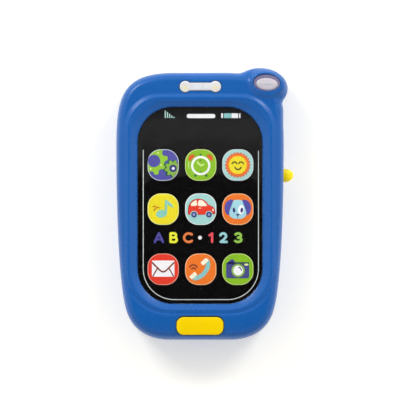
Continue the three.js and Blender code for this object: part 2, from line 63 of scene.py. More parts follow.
# ---------------------------------------------------------------- driving dimensions
# Shell outline, right half, as cubic curves from the top middle to the bottom middle.
HALF_W = 35.35
HALF_L = 56.35
OUTLINE = (
    ((10.6, HALF_L), (33.0, HALF_L), (HALF_W, 46.9), (HALF_W, 25.0)),
    ((HALF_W, 25.0), (HALF_W, 0.0), (34.4, -32.9), (31.1, -44.0)),
    ((31.1, -44.0), (28.5, -52.6), (21.5, -HALF_L), (12.8, -HALF_L)),
)
# Heights: the face, the crest of the frame round the screen, the parting line and the ceiling inside.
FACE_Z = 22.5
CREST_Z = 23.5
PART_Z = 11.5
ROOF_Z = 21.0
GAP = 0.3
WALL = 2.0
OVERLAP = 1.2
# Rounded edges, as (width, height).
EDGE_POWER = 2.2
FRONT_EDGE = (3.7, 5.6)
BACK_EDGE = (4.2, 5.0)
EAR_FRONT_EDGE = (2.9, 4.2)
EAR_BACK_EDGE = (3.4, 4.6)
EAR_BLEND = 1.4

EAR = dict(x=25.4, y=49.6, rx=11.65, ry=8.8, low=1.5, top=21.2)
BUMP = dict(x=28.5, y=51.8, rx=8.2, ry=6.4, high=1.95)
TORCH = dict(x=28.15, y=52.05, rx=5.7, ry=3.6, turn=-0.06, level=22.25)
# The body is a little fuller on the right, just below the ear.
SHOULDER = dict(y=43.0, spread=5.5, start=18, full=30, out=0.9)

# Rounded rectangles: half width, top, bottom, top corner radius, bottom corner radius.
SCREEN = (26.4, 41.9, -41.2, 15.0, 15.0)
STEP = (30.9, 46.4, -44.3, 13.8, 18.4)
LINE = (29.2, 44.5, -43.0, 16.5, 17.0)
# Relief of the face. start and full say over which distance from the middle it comes in.
CROWN = 0.00035
CHIN = dict(y=44.5, fall=0.013)
DISH = dict(lip=0.12, sag=0.25, drop=0.85, start=12, full=40)
BEAD = dict(high=0.16, spread=0.5, start=6, full=26)
VALLEY = dict(deep=0.34, offset=0.6, spread=0.75, start=22, full=40)
GROOVE = dict(deep=0.34, half=0.6)

# Corners and cell sizes of the grids on which the two covers are made.
GRID_LOW = (-37.3, -58.3)
GRID_HIGH = (38.9, 60.5)
FRONT_CELL = 0.45
BACK_CELL = 0.55

LENS_LOW, LENS_HIGH = node_box("screen_lens")
PRINT_LOW, PRINT_HIGH = node_box("screen_print")
HOME_LOW, HOME_HIGH = node_box("home_button")
HOME = dict(y=-50.4, w=19.7, h=7.5, r=3.0)
WINDOW = dict(x=0.15, y=50.4, dx=6.35, r=2.4, bar=3.3)
KNOB = dict(y=13.0, z=PART_Z, travel=2.5, stem=3.0, tip=node_box("power_knob")[1][0])

CASE_POSTS = ((27.5, 42.0), (-27.5, 42.0), (24.0, -43.5), (-24.0, -43.5))
SCREW_HOLE = 1.4
SPEAKER = dict(x=0.0, y=22.0, r=14.0)
TRAY = dict(x=25.3, y0=-37.2, y1=-14.8, roof=12.9, wall=1.3)
DOOR = dict(x=27.2, y0=-39.5, y1=-12.5, thick=1.7, r=3.0, tab=4.2, screw_y=-9.6)
HOOK_X = (-14.0, 14.0)


# ---------------------------------------------------------------- outlines
def bezier(points, t):
    p = [np.array(q)[None, :] for q in points]
    s = 1 - t[:, None]
    t = t[:, None]
    return s ** 3 * p[0] + 3 * s * s * t * p[1] + 3 * s * t * t * p[2] + t ** 3 * p[3]


def shell_outline(steps):
    """Closed counter-clockwise outline of the shell without its ear."""
    t = np.linspace(0, 1, steps)
    right = np.vstack([bezier(c, t)[(1 if i else 0):] for i, c in enumerate(OUTLINE)])
    across = np.linspace(1, -1, steps)[1:-1, None]
    top = across * (right[0, 0], 0) + (0, HALF_L)
    bottom = -across * (right[-1, 0], 0) - (0, HALF_L)
    return np.vstack([right[::-1], top, right * (-1, 1), bottom])


def rounded_rect(shape, grow=0.0, steps=20):
    half_w, top, bottom, r_top, r_bottom = shape
    points = []
    corners = ((1, bottom, r_bottom, -90), (1, top, r_top, 0), (-1, top, r_top, 90),
               (-1, bottom, r_bottom, 180))
    for side, edge, r, start in corners:
        cx = side * (half_w - r)
        cy = edge - r if edge == top else edge + r
        a = np.radians(start + np.linspace(0, 90, steps))
        points.append(np.stack([cx + (r + grow) * np.cos(a), cy + (r + grow) * np.sin(a)], 1))
    return np.vstack(points)


def pill(cx, cy, w, h, r, grow=0.0, steps=10):
    points = rounded_rect((w / 2, h / 2, -h / 2, r, r), grow, steps)
    return points + (cx, cy)


def ellipse(cx, cy, rx, ry, turn=0.0, steps=64):
    a = np.linspace(0, 2 * math.pi, steps, endpoint=False)
    u, v = rx * np.cos(a), ry * np.sin(a)
    c, s = math.cos(turn), math.sin(turn)
    return np.stack([cx + u * c - v * s, cy + u * s + v * c], 1)


def oval(shape, grow, steps=64):
    rx, ry = shape["rx"] + grow, shape["ry"] + grow
    return ellipse(shape["x"], shape["y"], rx, ry, shape.get("turn", 0.0), steps)


def dumbbell(grow):
    """A bar with a round end on each side."""
    r = WINDOW["r"] + grow
    half = WINDOW["bar"] / 2 + grow
    a = math.asin(half / r)
    ends = []
    for side, start in ((1, -math.pi + a), (-1, a)):
        t = start + np.linspace(0, 2 * math.pi - 2 * a, 28)
        x = WINDOW["x"] + side * WINDOW["dx"]
        ends.append(np.stack([x + r * np.cos(t), WINDOW["y"] + r * np.sin(t)], 1))
    return np.vstack(ends)


def inset(points, d):
    """Moves every point of a closed counter-clockwise outline inwards."""
    along = np.roll(points, -1, 0) - np.roll(points, 1, 0)
    along /= np.linalg.norm(along, axis=1)[:, None]
    return points + d * np.stack([-along[:, 1], along[:, 0]], 1)


# ---------------------------------------------------------------- meshes
def new_mesh(name, verts, faces):
    mesh = bpy.data.meshes.new(name)
    mesh.from_pydata((np.asarray(verts, float) * MM).tolist(), [], [tuple(map(int, f)) for f in faces])
    mesh.update()
    obj = bpy.data.objects.new(name, mesh)
    bpy.context.scene.collection.objects.link(obj)
    return obj


def loft(rings, capped=True, closed=False):
    """Vertices and faces through rings of one size, lowest ring first. closed joins last to first."""
    n = len(rings[0])
    verts = np.vstack(rings)
    count = len(rings)
    faces = []
    for k in range(count if closed else count - 1):
        a, b = k * n, ((k + 1) % count) * n
        faces += [(a + i, a + (i + 1) % n, b + (i + 1) % n, b + i) for i in range(n)]
    if capped and not closed:
        faces.append(tuple(range(n - 1, -1, -1)))
        faces.append(tuple(range((count - 1) * n, count * n)))
    return verts, faces


def at_z(points, z):
    return np.column_stack([points, np.full(len(points), z)])


def prism(points, z0, z1):
    return loft([at_z(points, z0), at_z(points, z1)])


def block(x0, x1, y0, y1, z0, z1):
    return prism(np.array([(x0, y0), (x1, y0), (x1, y1), (x0, y1)]), z0, z1)


def stacked(outline, levels):
    """Solid through outline(grow) at each (grow, height) of the levels."""
    return loft([at_z(outline(grow), z) for grow, z in levels])


def turned(x, y, levels, steps=40):
    """Round solid along Z through (radius, height) pairs."""
    return stacked(lambda r: ellipse(x, y, r, r, 0, steps), levels)


def rod(x, y, z0, z1, r, steps=40):
    return turned(x, y, ((r, z0), (r, z1)), steps)


def along_x(shape):
    """Turns a solid built along Z so that it runs along X."""
    verts, faces = shape
    return verts[:, [2, 0, 1]], faces


def join_parts(*parts):
    """One vertex and face list from several separate closed ones."""
    verts, faces, start = [], [], 0
    for v, f in parts:
        verts.append(v)
        faces += [tuple(i + start for i in face) for face in f]
        start += len(v)
    return np.vstack(verts), faces


def lathe(profile, steps=48):
    """Closed solid from (radius, height) pairs that start and end on the axis."""
    rings = [at_z(ellipse(0, 0, r, r, 0, steps), z) for r, z in profile[1:-1]]
    verts, faces = loft(rings, capped=False)
    n = len(verts)
    verts = np.vstack([verts, [0, 0, profile[0][1]], [0, 0, profile[-1][1]]])
    last = n - steps
    faces += [(n, (i + 1) % steps, i) for i in range(steps)]
    faces += [(n + 1, last + i, last + (i + 1) % steps) for i in range(steps)]
    return verts, faces


def boolean(obj, parts, operation="DIFFERENCE"):
    """Cuts from obj, or joins to it, every given solid in turn: (verts, faces), or an object of its own."""
    for part in parts:
        tool = part if isinstance(part, bpy.types.Object) else new_mesh("tool", *part)
        bm = bmesh.new()
        bm.from_mesh(tool.data)
        bmesh.ops.recalc_face_normals(bm, faces=bm.faces)
        bmesh.ops.triangulate(bm, faces=[f for f in bm.faces if len(f.verts) > 4])
        bm.to_mesh(tool.data)
        bm.free()
        mod = obj.modifiers.new("cut", "BOOLEAN")
        mod.operation = operation
        mod.solver = "MANIFOLD"
        mod.object = tool
        apply_modifiers(obj)
        bpy.data.objects.remove(tool)
    return obj


def apply_modifiers(obj):
    graph = bpy.context.evaluated_depsgraph_get()
    mesh = bpy.data.meshes.new_from_object(obj.evaluated_get(graph))
    obj.modifiers.clear()
    obj.data = mesh


def finish_mesh(obj, degrees=32):
    """Smooth shading with hard edges kept where faces meet at more than the given angle."""
    bm = bmesh.new()
    bm.from_mesh(obj.data)
    bmesh.ops.remove_doubles(bm, verts=bm.verts, dist=2e-6)
    bmesh.ops.dissolve_degenerate(bm, edges=bm.edges, dist=1e-6)
    bmesh.ops.recalc_face_normals(bm, faces=bm.faces)
    limit = math.radians(degrees)
    for edge in bm.edges:
        edge.smooth = len(edge.link_faces) == 2 and edge.calc_face_angle(0) < limit
    for face in bm.faces:
        face.smooth = True
    bm.to_mesh(obj.data)
    bm.free()
    return obj


def piece(name, shape, material, body, replaces=(), degrees=32):
    """Finishes one visible piece: its mesh, material, body and the CAD nodes it stands for."""
    obj = shape if isinstance(shape, bpy.types.Object) else new_mesh(name, *shape)
    obj.name = name + "_skin" if name in replaces else name
    obj.data.name = obj.name
    finish_mesh(obj, degrees)
    if material is not None:
        obj.data.materials.clear()
        obj.data.materials.append(material)
    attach(obj, body)
    if replaces:
        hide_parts(*replaces)
    return obj


# ---------------------------------------------------------------- shell as a distance field
def polar_table(points):
    """Radius of a star-shaped outline by angle, with the factor from radial to true distance."""
    angle = np.arctan2(points[:, 1], points[:, 0])
    order = np.argsort(angle)
    theta = np.linspace(-math.pi, math.pi, 4096, endpoint=False)
    dense = np.interp(theta, angle[order], np.hypot(*points[order].T), period=2 * math.pi)
    reach = 15
    kernel = np.hanning(2 * reach + 1)
    kernel /= kernel.sum()
    wrapped = np.concatenate([dense[-reach:], dense, dense[:reach]])
    radius = np.convolve(wrapped, kernel, "valid")
    slope = np.gradient(radius, theta[1] - theta[0])
    return theta, radius, 1 / np.sqrt(1 + (slope / radius) ** 2)


BODY_TABLE = polar_table(shell_outline(400))


def body_distance(x, y):
    theta, radius, factor = BODY_TABLE
    a = np.arctan2(y, x)
    edge = np.interp(a, theta, radius, period=2 * math.pi)
    return (np.hypot(x, y) - edge) * np.interp(a, theta, factor, period=2 * math.pi)


def rect_distance(x, y, shape):
    half_w, top, bottom, r_top, r_bottom = shape
    mid = (top + bottom) / 2
    r = np.where(y > mid, r_top, r_bottom)
    qx = np.abs(x) - half_w + r
    qy = np.abs(y - mid) - (top - bottom) / 2 + r
    return np.minimum(np.maximum(qx, qy), 0) + np.hypot(np.maximum(qx, 0), np.maximum(qy, 0)) - r


def oval_distance(x, y, shape):
    turn = shape.get("turn", 0.0)
    c, s = math.cos(turn), math.sin(turn)
    x, y = x - shape["x"], y - shape["y"]
    u, v = x * c + y * s, y * c - x * s
    k0 = np.hypot(u / shape["rx"], v / shape["ry"])
    k1 = np.hypot(u / shape["rx"] ** 2, v / shape["ry"] ** 2)
    return k0 * (k0 - 1) / np.maximum(k1, 1e-6)


def ramp(value, start, end):
    t = np.clip((value - start) / (end - start), 0, 1)
    return t * t * (3 - 2 * t)


def hump(value, spread):
    """Bell curve that is 1 where value is 0."""
    return np.exp(-(value / spread) ** 2)


def smooth_min(a, b, k):
    h = np.maximum(k - np.abs(a - b), 0) / k
    return np.minimum(a, b) - h * h * k / 4


def rounded(side, top, edge):
    """Meets a side wall and a top with a rounded edge of the given width and height."""
    width, height = edge
    a = (side + width) / width
    b = (top + height) / height
    corner = (np.maximum(a, 0) ** EDGE_POWER + np.maximum(b, 0) ** EDGE_POWER) ** (1 / EDGE_POWER) - 1
    return (corner + np.minimum(np.maximum(a, b), 0)) * width


def face_height(x, y):
    """Height of the front: a faintly crowned face, a raised frame, and a dish down to the screen."""
    screen = rect_distance(x, y, SCREEN)
    step = rect_distance(x, y, STEP)
    face = FACE_Z - CROWN * x ** 2 - CHIN["fall"] * np.maximum(-y - CHIN["y"], 0) ** 2
    w = np.clip(screen / np.maximum(screen - step, 0.01), 0, 1)
    foot = LENS_HIGH[2] + DISH["lip"]
    rise = CREST_Z - DISH["drop"] * ramp(-y, DISH["start"], DISH["full"]) - foot
    dish = foot + rise * ((1 + DISH["sag"]) * w - DISH["sag"] * w * w)
    inside = ramp(step, 1.3, -1.3)
    bead = BEAD["high"] * hump(rect_distance(x, y, LINE), BEAD["spread"])
    bead = bead * ramp(y, BEAD["start"], BEAD["full"])
    valley = VALLEY["deep"] * hump(step - VALLEY["offset"], VALLEY["spread"])
    valley = valley * ramp(-y, VALLEY["start"], VALLEY["full"])
    return face * (1 - inside) + dish * inside + bead - valley


def ear_height(x, y):
    rim = 0.28 * hump(oval_distance(x, y, TORCH) - 0.5, 0.38)
    away = (x - EAR["x"]) ** 2 + (y - EAR["y"]) ** 2
    return EAR["top"] - 0.001 * away + BUMP["high"] * ramp(oval_distance(x, y, BUMP), 1.0, -1.8) + rim


def shell_field(x, y, z):
    """Below zero inside the shell: the body, joined softly to the ear."""
    out = SHOULDER["out"] * ramp(x, SHOULDER["start"], SHOULDER["full"])
    side = body_distance(x, y) - out * hump(y - SHOULDER["y"], SHOULDER["spread"])
    body = np.maximum(rounded(side, z - face_height(x, y), FRONT_EDGE), rounded(side, -z, BACK_EDGE))
    ear_side = oval_distance(x, y, EAR)
    ear = np.maximum(rounded(ear_side, z - ear_height(x, y), EAR_FRONT_EDGE),
                     rounded(ear_side, EAR["low"] - z, EAR_BACK_EDGE))
    return smooth_min(body, ear, EAR_BLEND)


def surface_net(field, low, high, step):
    """Closed quad mesh of field = 0, relaxed along the surface and pulled onto it."""
    x, y, z = (np.arange(a, b + step, step) for a, b in zip(low, high))
    flat_x, flat_y = np.meshgrid(x, y, indexing="ij")
    values = field(flat_x[:, :, None], flat_y[:, :, None], z[None, None, :])
    inside = values < 0
    cells = np.zeros(np.array(inside.shape) - 1, np.int8)
    for i, j, k in np.ndindex(2, 2, 2):
        cells += inside[i:i + cells.shape[0], j:j + cells.shape[1], k:k + cells.shape[2]]
    mixed = (cells > 0) & (cells < 8)
    index = np.full(cells.shape, -1)
    where = np.argwhere(mixed)
    index[mixed] = np.arange(len(where))
    points = np.array(low) + (where + 0.5) * step
    faces = []
    for axis in range(3):
        b, c = (axis + 1) % 3, (axis + 2) % 3
        here = np.moveaxis(inside, (axis, b, c), (0, 1, 2))
        cell = np.moveaxis(index, (axis, b, c), (0, 1, 2))
        first = here[:-1, 1:-1, 1:-1]
        second = here[1:, 1:-1, 1:-1]
        corners = [cell[:, :-1, :-1], cell[:, 1:, :-1], cell[:, 1:, 1:], cell[:, :-1, 1:]]
        for mask, order in ((first & ~second, (0, 1, 2, 3)), (~first & second, (3, 2, 1, 0))):
            faces.append(np.stack([corners[o][mask] for o in order], 1))
    faces = np.vstack(faces)
    for _ in range(4):
        points = project(field, points, step)
        points = relax(points, faces)
    return project(field, project(field, points, step), step), faces


def project(field, points, step):
    """Newton steps onto the surface, each no longer than a grid step."""
    h = 0.02
    x, y, z = points.T
    value = field(x, y, z)
    ahead = (field(x + h, y, z), field(x, y + h, z), field(x, y, z + h))
    gradient = (np.stack(ahead, 1) - value[:, None]) / h
    move = value[:, None] * gradient / np.maximum((gradient ** 2).sum(1), 1e-6)[:, None]
    length = np.maximum(np.linalg.norm(move, axis=1), 1e-9)[:, None]
    return points - move * np.minimum(1, step / length)


def relax(points, faces):
    total = np.zeros_like(points)
    count = np.zeros(len(points))
    for corner in range(4):
        ends = faces[:, corner], faces[:, (corner + 1) % 4]
        for here, there in (ends, ends[::-1]):
            np.add.at(total, here, points[there])
            np.add.at(count, here, 1)
    return points * 0.5 + total / count[:, None] * 0.5


# ---------------------------------------------------------------- materials
class Nodes:
    """Short hand for building one node material."""

    def __init__(self, name):
        self.material = bpy.data.materials.new(name)
        self.material.use_nodes = True
        self.tree = self.material.node_tree
        self.shader = self.tree.nodes["Principled BSDF"]
        self.output = self.tree.nodes["Material Output"]
        self.coords = self.add("ShaderNodeTexCoord").outputs["Object"]

    def add(self, kind, inputs=(), **settings):
        node = self.tree.nodes.new(kind)
        for key, value in settings.items():
            setattr(node, key, value)
        for key, value in dict(inputs).items():
            if isinstance(value, bpy.types.NodeSocket):
                self.tree.links.new(value, node.inputs[key])
            else:
                node.inputs[key].default_value = value
        return node

    def link(self, source, target):
        self.tree.links.new(source, target)

    def stretched(self, scale):
        return self.add("ShaderNodeMapping", {"Vector": self.coords, "Scale": scale}).outputs[0]

    def noise(self, per_mm, detail=2.0, rough=0.5, vector=None):
        """Soft noise with features of about 1 / per_mm millimetres."""
        values = {"Vector": vector or self.coords, "Scale": per_mm / MM}
        values.update(Detail=detail, Roughness=rough)
        return self.add("ShaderNodeTexNoise", values).outputs[0]

    def spread(self, value, low, high, start=0.3, end=0.7):
        values = {"Value": value, "From Min": start, "From Max": end, "To Min": low, "To Max": high}
        return self.add("ShaderNodeMapRange", values).outputs[0]

    def math(self, operation, a, b=0.0):
        return self.add("ShaderNodeMath", {0: a, 1: b}, operation=operation).outputs[0]

    def mix(self, factor, a, b):
        node = self.add("ShaderNodeMix", data_type="RGBA")
        for index, value in ((0, factor), (6, a), (7, b)):
            if isinstance(value, bpy.types.NodeSocket):
                self.tree.links.new(value, node.inputs[index])
            else:
                node.inputs[index].default_value = value
        return node.outputs[2]

    def base(self, factor, a, b):
        """Base colour, from a to b by the factor."""
        self.link(self.mix(factor, a, b), self.shader.inputs["Base Color"])

    def rough(self, value):
        self.link(value, self.shader.inputs["Roughness"])

    def bump(self, height, distance):
        values = {"Height": height, "Distance": distance * MM, "Strength": 1.0}
        self.link(self.add("ShaderNodeBump", values).outputs[0], self.shader.inputs["Normal"])

    def set(self, **values):
        for key, value in values.items():
            self.shader.inputs[key.replace("_", " ")].default_value = value


def rgb(*display):
    """Display colour, 0 to 255, as a linear one."""
    linear = (c / 255 / 12.92 if c < 10.3 else ((c / 255 + 0.055) / 1.055) ** 2.4 for c in display)
    return tuple(linear) + (1.0,)


def shaded(color, factor):
    return tuple(c * factor for c in color[:3]) + (1.0,)


def moulded(name, color, roughness, vary, peel, tint, scuffs, **extra):
    """Injection-moulded plastic: faint flow in its colour, a fine skin, uneven gloss and light scuffs."""
    m = Nodes(name)
    flow = m.spread(m.noise(0.06, 3.0), 0, 1)
    m.base(flow, shaded(color, 1 - tint), shaded(color, 1 + tint))
    cloud = m.spread(m.noise(0.25, 4.0, 0.6), roughness - vary, roughness + vary)
    scratches = m.noise(1.0, 3.0, 0.6, m.stretched((0.25, 3.0, 1.0)))
    marks = m.spread(scratches, 0.0, scuffs, 0.62, 0.75)
    m.rough(m.math("ADD", cloud, marks))
    skin = m.math("ADD", m.noise(1.1, 2.0), m.math("MULTIPLY", m.noise(5.0, 1.0), 0.35))
    m.bump(skin, peel)
    m.set(**extra)
    return m.material


def glassy(name, color, roughness):
    """Clear or tinted plastic that lets lamp light through to what lies under it."""
    m = Nodes(name)
    m.set(Base_Color=color, IOR=1.49, Transmission_Weight=1.0)
    m.rough(m.spread(m.noise(0.3, 4.0, 0.6), roughness, roughness + 0.02))
    m.bump(m.noise(0.15, 2.0), 0.01)
    clear = m.add("ShaderNodeBsdfTransparent", {"Color": color})
    path = m.add("ShaderNodeLightPath")
    shaders = {0: path.outputs["Is Shadow Ray"], 1: m.shader.outputs[0], 2: clear.outputs[0]}
    m.link(m.add("ShaderNodeMixShader", shaders).outputs[0], m.output.inputs["Surface"])
    return m.material


def metal(name, color, roughness, brushed=(1.0, 1.0, 1.0)):
    m = Nodes(name)
    m.base(m.spread(m.noise(0.5, 4.0, 0.6), 0, 1), shaded(color, 0.85), color)
    grain = m.noise(4.0, 3.0, 0.6, m.stretched(brushed))
    m.rough(m.spread(grain, roughness - 0.08, roughness + 0.12))
    m.bump(grain, 0.006)
    m.set(Metallic=1.0)
    return m.material


def printed(name, color, gloss=0.5, specular=0.2):
    """Screen-print ink: flat colour with a faint mottle and a soft gloss."""
    m = Nodes(name)
    m.base(m.spread(m.noise(1.5, 3.0, 0.6), 0, 1), shaded(color, 0.975), shaded(color, 1.02))
    m.rough(m.spread(m.noise(2.5, 2.0), gloss - 0.06, gloss + 0.06))
    m.bump(m.noise(6.0, 2.0), 0.002)
    m.set(Specular_IOR_Level=specular)
    return m.material


def rubbery(name, color, roughness, grain, depth):
    m = Nodes(name)
    m.base(m.spread(m.noise(0.4, 3.0), 0, 1), shaded(color, 0.88), shaded(color, 1.06))
    fine = m.noise(grain, 3.0, 0.6)
    m.rough(m.spread(fine, roughness - 0.08, roughness + 0.08))
    m.bump(fine, depth)
    return m.material


def circuit(name):
    """Green board with paler tracks that stand up a little under the mask."""
    m = Nodes(name)
    cells = m.add("ShaderNodeTexVoronoi", {"Vector": m.coords, "Scale": 0.22 / MM, "Randomness": 0.55},
                  feature="DISTANCE_TO_EDGE", distance="CHEBYCHEV").outputs[0]
    track = m.spread(cells, 1, 0, 0.05, 0.08)
    green = m.mix(m.spread(m.noise(0.2, 3.0), 0, 1), rgb(14, 84, 46), rgb(20, 98, 54))
    m.base(track, green, rgb(44, 128, 70))
    m.rough(m.spread(m.noise(1.0, 3.0), 0.28, 0.42))
    m.bump(track, 0.03)
    return m.material


def window_white():
    """Milky plastic that lets the two lamps under its round ends show through as a warm tint."""
    m = Nodes("window_white")
    glow = 0.0
    for side in (-1, 1):
        middle = Vector((WINDOW["x"] + side * WINDOW["dx"], WINDOW["y"] - 0.5, FACE_Z)) * MM
        offset = m.add("ShaderNodeVectorMath", {0: m.coords, 1: middle}, operation="DISTANCE")
        near = m.spread(offset.outputs["Value"], 1, 0, 0.4 * MM, 1.9 * MM)
        glow = m.math("ADD", near, glow)
    tone = m.spread(m.noise(0.3, 3.0), 0, 1)
    milk = m.mix(tone, rgb(216, 218, 226), rgb(226, 227, 232))
    m.base(glow, milk, rgb(232, 222, 186))
    m.rough(m.spread(m.noise(0.3, 4.0), 0.24, 0.34))
    m.bump(m.noise(1.2, 2.0), 0.006)
    m.set(Subsurface_Weight=0.25, Subsurface_Scale=0.001)
    return m.material


def make_materials():
    milky = dict(Subsurface_Weight=0.3, Subsurface_Scale=0.001)
    # glow is painted light: a faint yellow emission on the power knob, which is no lamp, to brighten the
    # parts that face the dark overhead.
    glow = dict(Emission_Color=rgb(255, 205, 0), Emission_Strength=0.1)
    # Moulded plastics: colour, roughness, vary, peel, tint, scuffs.
    return dict(
        shell=moulded("shell_blue", rgb(21, 93, 171), 0.28, 0.03, 0.008, 0.03, 0.04,
                      Specular_IOR_Level=0.34),
        button=moulded("button_yellow", rgb(246, 209, 0), 0.3, 0.04, 0.006, 0.02, 0.04,
                       Specular_IOR_Level=0.2),
        # The knob gets the painted glow: it shines faintly though it is no lamp.
        knob=moulded("knob_yellow", rgb(255, 228, 4), 0.3, 0.04, 0.008, 0.02, 0.04,
                     Specular_IOR_Level=0.3, **glow),
        torch=moulded("torch_milky", rgb(205, 200, 208), 0.2, 0.04, 0.004, 0.04, 0.02, **milky),
        # The reflector's lilac-grey base colour is painted shade and reflection: it stands in for the shaded
        # inner wall of a chrome cup.
        reflector=moulded("reflector_painted_shade", rgb(132, 126, 160), 0.22, 0.04, 0.004, 0.06, 0.03),
        black=moulded("black_plastic", rgb(26, 26, 29), 0.42, 0.06, 0.02, 0.1, 0.06),
        wrap=moulded("cell_wrap", rgb(38, 84, 60), 0.3, 0.05, 0.006, 0.04, 0.12),
        wrap_band=moulded("cell_band", rgb(226, 178, 62), 0.28, 0.05, 0.006, 0.04, 0.12),
        window=window_white(),
        lens=glassy("lens_clear", (0.93, 0.93, 0.93, 1.0), 0.02),
        led=glassy("led_clear", (0.95, 0.97, 0.9, 1.0), 0.05),
        film=printed("film_black", rgb(5, 4, 5), 0.6, 0.05),
        board=circuit("board_green"),
        steel=metal("steel_plated", rgb(196, 198, 202), 0.26),
        spring=metal("spring_steel", rgb(206, 206, 208), 0.22, (1.0, 6.0, 6.0)),
        brass=metal("brass_nut", rgb(214, 178, 96), 0.28),
        paper=rubbery("cone_paper", rgb(46, 44, 44), 0.85, 1.6, 0.08),
        silicone=rubbery("silicone_grey", rgb(196, 200, 202), 0.5, 3.0, 0.01),
        pad=rubbery("pad_black", rgb(34, 34, 36), 0.62, 3.0, 0.02),
        red=rubbery("wire_red", rgb(190, 26, 26), 0.42, 2.0, 0.01),
        dark=rubbery("wire_black", rgb(22, 22, 24), 0.42, 2.0, 0.01),
    )


# ---------------------------------------------------------------- shell pieces
def parting_groove(z):
    """Depth of the small V that shows where the covers meet."""
    return GROOVE["deep"] * np.maximum(1 - np.abs(z - PART_Z) / GROOVE["half"], 0)


def front_field(x, y, z):
    return np.maximum(shell_field(x, y, z) + parting_groove(z), PART_Z - OVERLAP - z)


def back_field(x, y, z):
    return np.maximum(shell_field(x, y, z) + parting_groove(z), z - PART_Z - OVERLAP)


def cover_skin(name, field, z_low, z_high, cell):
    return new_mesh(name, *surface_net(field, (*GRID_LOW, z_low), (*GRID_HIGH, z_high), cell))


def flared(outline, z_low, z_face, flare, sink):
    """Straight hole whose mouth opens out. outline(grow) gives its section."""
    return stacked(outline, ((0, z_low), (0, z_face - sink), (flare * 0.25, z_face - sink * 0.45),
                             (flare * 0.6, z_face - sink * 0.12), (flare, z_face),
                             (flare * 1.9, z_face + 0.6)))


def knob_cutters():
    """The slot of the knob's stem, and the shallow bay round it."""
    y, z, x, half = KNOB["y"], KNOB["z"], HALF_W, KNOB["stem"] / 2
    slot = prism(pill(y, z, 2 * (half + KNOB["travel"] + GAP), 2 * (half + GAP), 0.9), x - 5, x + 3)
    bay = stacked(lambda grow: pill(y, z, 14.0, 6.6, 1.6, grow),
                  ((0, x - 0.9), (0.08, x - 0.45), (0.3, x - 0.12), (0.75, x + 0.2), (1.4, x + 3)))
    return [along_x(slot), along_x(bay)]


def cavity(levels, ear_levels):
    """Coarse hollow of one cover: (inset, height) pairs for the body, and for the ear."""
    body = shell_outline(16)
    hollow = new_mesh("cavity", *stacked(lambda d: inset(body, d), levels))
    return boolean(hollow, [stacked(lambda d: oval(EAR, -d, 40), ear_levels)], "UNION")


def at_posts(z0, z1, r, steps=40):
    return join_parts(*[rod(x, y, z0, z1, r, steps) for x, y in CASE_POSTS])


def front_cover(mats):
    cover = cover_skin("front", front_field, PART_Z - 2.4, 25.4, FRONT_CELL)
    low = PART_Z - 3
    hollow = cavity([(WALL, low), (WALL + 0.2, 16.5), (WALL + 1.2, ROOF_Z - 1.5), (WALL + 3.4, ROOF_Z)],
                    [(WALL, low), (WALL, 17.5), (WALL + 0.6, 19.3), (WALL + 2.6, 21.0)])
    screen_wall = prism(rounded_rect(SCREEN, 5.2), 17.6, 24)
    button_wall = prism(pill(0, HOME["y"], HOME["w"] + 3, HOME["h"] + 1.6, 3.4), ROOF_Z - 0.1, 24)
    boolean(hollow, [screen_wall, button_wall])
    boolean(hollow, [at_posts(PART_Z + GAP / 2, 24, 3.0)])
    boolean(cover, [hollow])
    boolean(cover, [
        block(-60, 60, -80, 80, 0, PART_Z + GAP / 2),
        stacked(lambda grow: rounded_rect(SCREEN, grow),
                ((0, 18.8), (0, 21.05), (0.12, 21.25), (0.34, 21.36), (0.5, 21.9))),
        prism(rounded_rect(SCREEN, -1.5), 10, 19.5),
        flared(lambda grow: oval(TORCH, grow), 16, EAR["top"] + BUMP["high"], 0.22, 0.4),
        flared(lambda grow: pill(0, HOME["y"], HOME["w"] + 0.6, HOME["h"] + 0.6, HOME["r"] + 0.3, grow),
               16, FACE_Z - 0.22, 0.32, 0.4),
        flared(lambda grow: dumbbell(0.25 + grow), 16, FACE_Z + 0.05, 0.3, 0.35),
        at_posts(8, 18.5, SCREW_HOLE, 24),
        *knob_cutters(),
    ])
    return piece("front_cover", cover, mats["shell"], "housing", ["front_cover"], 28)


def door_outline(grow):
    """The door's panel with the round tab of its screw."""
    d = DOOR
    top = d["y1"] + grow
    r_tab = d["tab"] + grow
    a = math.asin((top - d["screw_y"]) / r_tab)
    t = np.linspace(a, math.pi - a, 24)
    tab = np.stack([r_tab * np.cos(t), d["screw_y"] + r_tab * np.sin(t)], 1)
    panel = rounded_rect((d["x"], d["y1"], d["y0"], d["r"], d["r"]), grow, 8)
    return np.vstack([panel[:16], tab, panel[16:]])


def grille_holes():
    holes = []
    levels = ((1.9, -0.4), (1.5, 0.0), (1.28, 0.22), (1.2, 0.5), (1.2, 3.0))
    for r, count in ((0, 1), (4.6, 6), (9.2, 11)):
        for i in range(count):
            a = 2 * math.pi * i / count
            holes.append(turned(SPEAKER["x"] + r * math.cos(a), SPEAKER["y"] + r * math.sin(a), levels, 20))
    return join_parts(*holes)


def speaker_ring():
    x, y, r = SPEAKER["x"], SPEAKER["y"], SPEAKER["r"]
    ring = new_mesh("ring", *rod(x, y, 1.4, 6, r + 1.7, 64))
    return boolean(ring, [rod(x, y, 0, 8, r + 0.4, 64)])


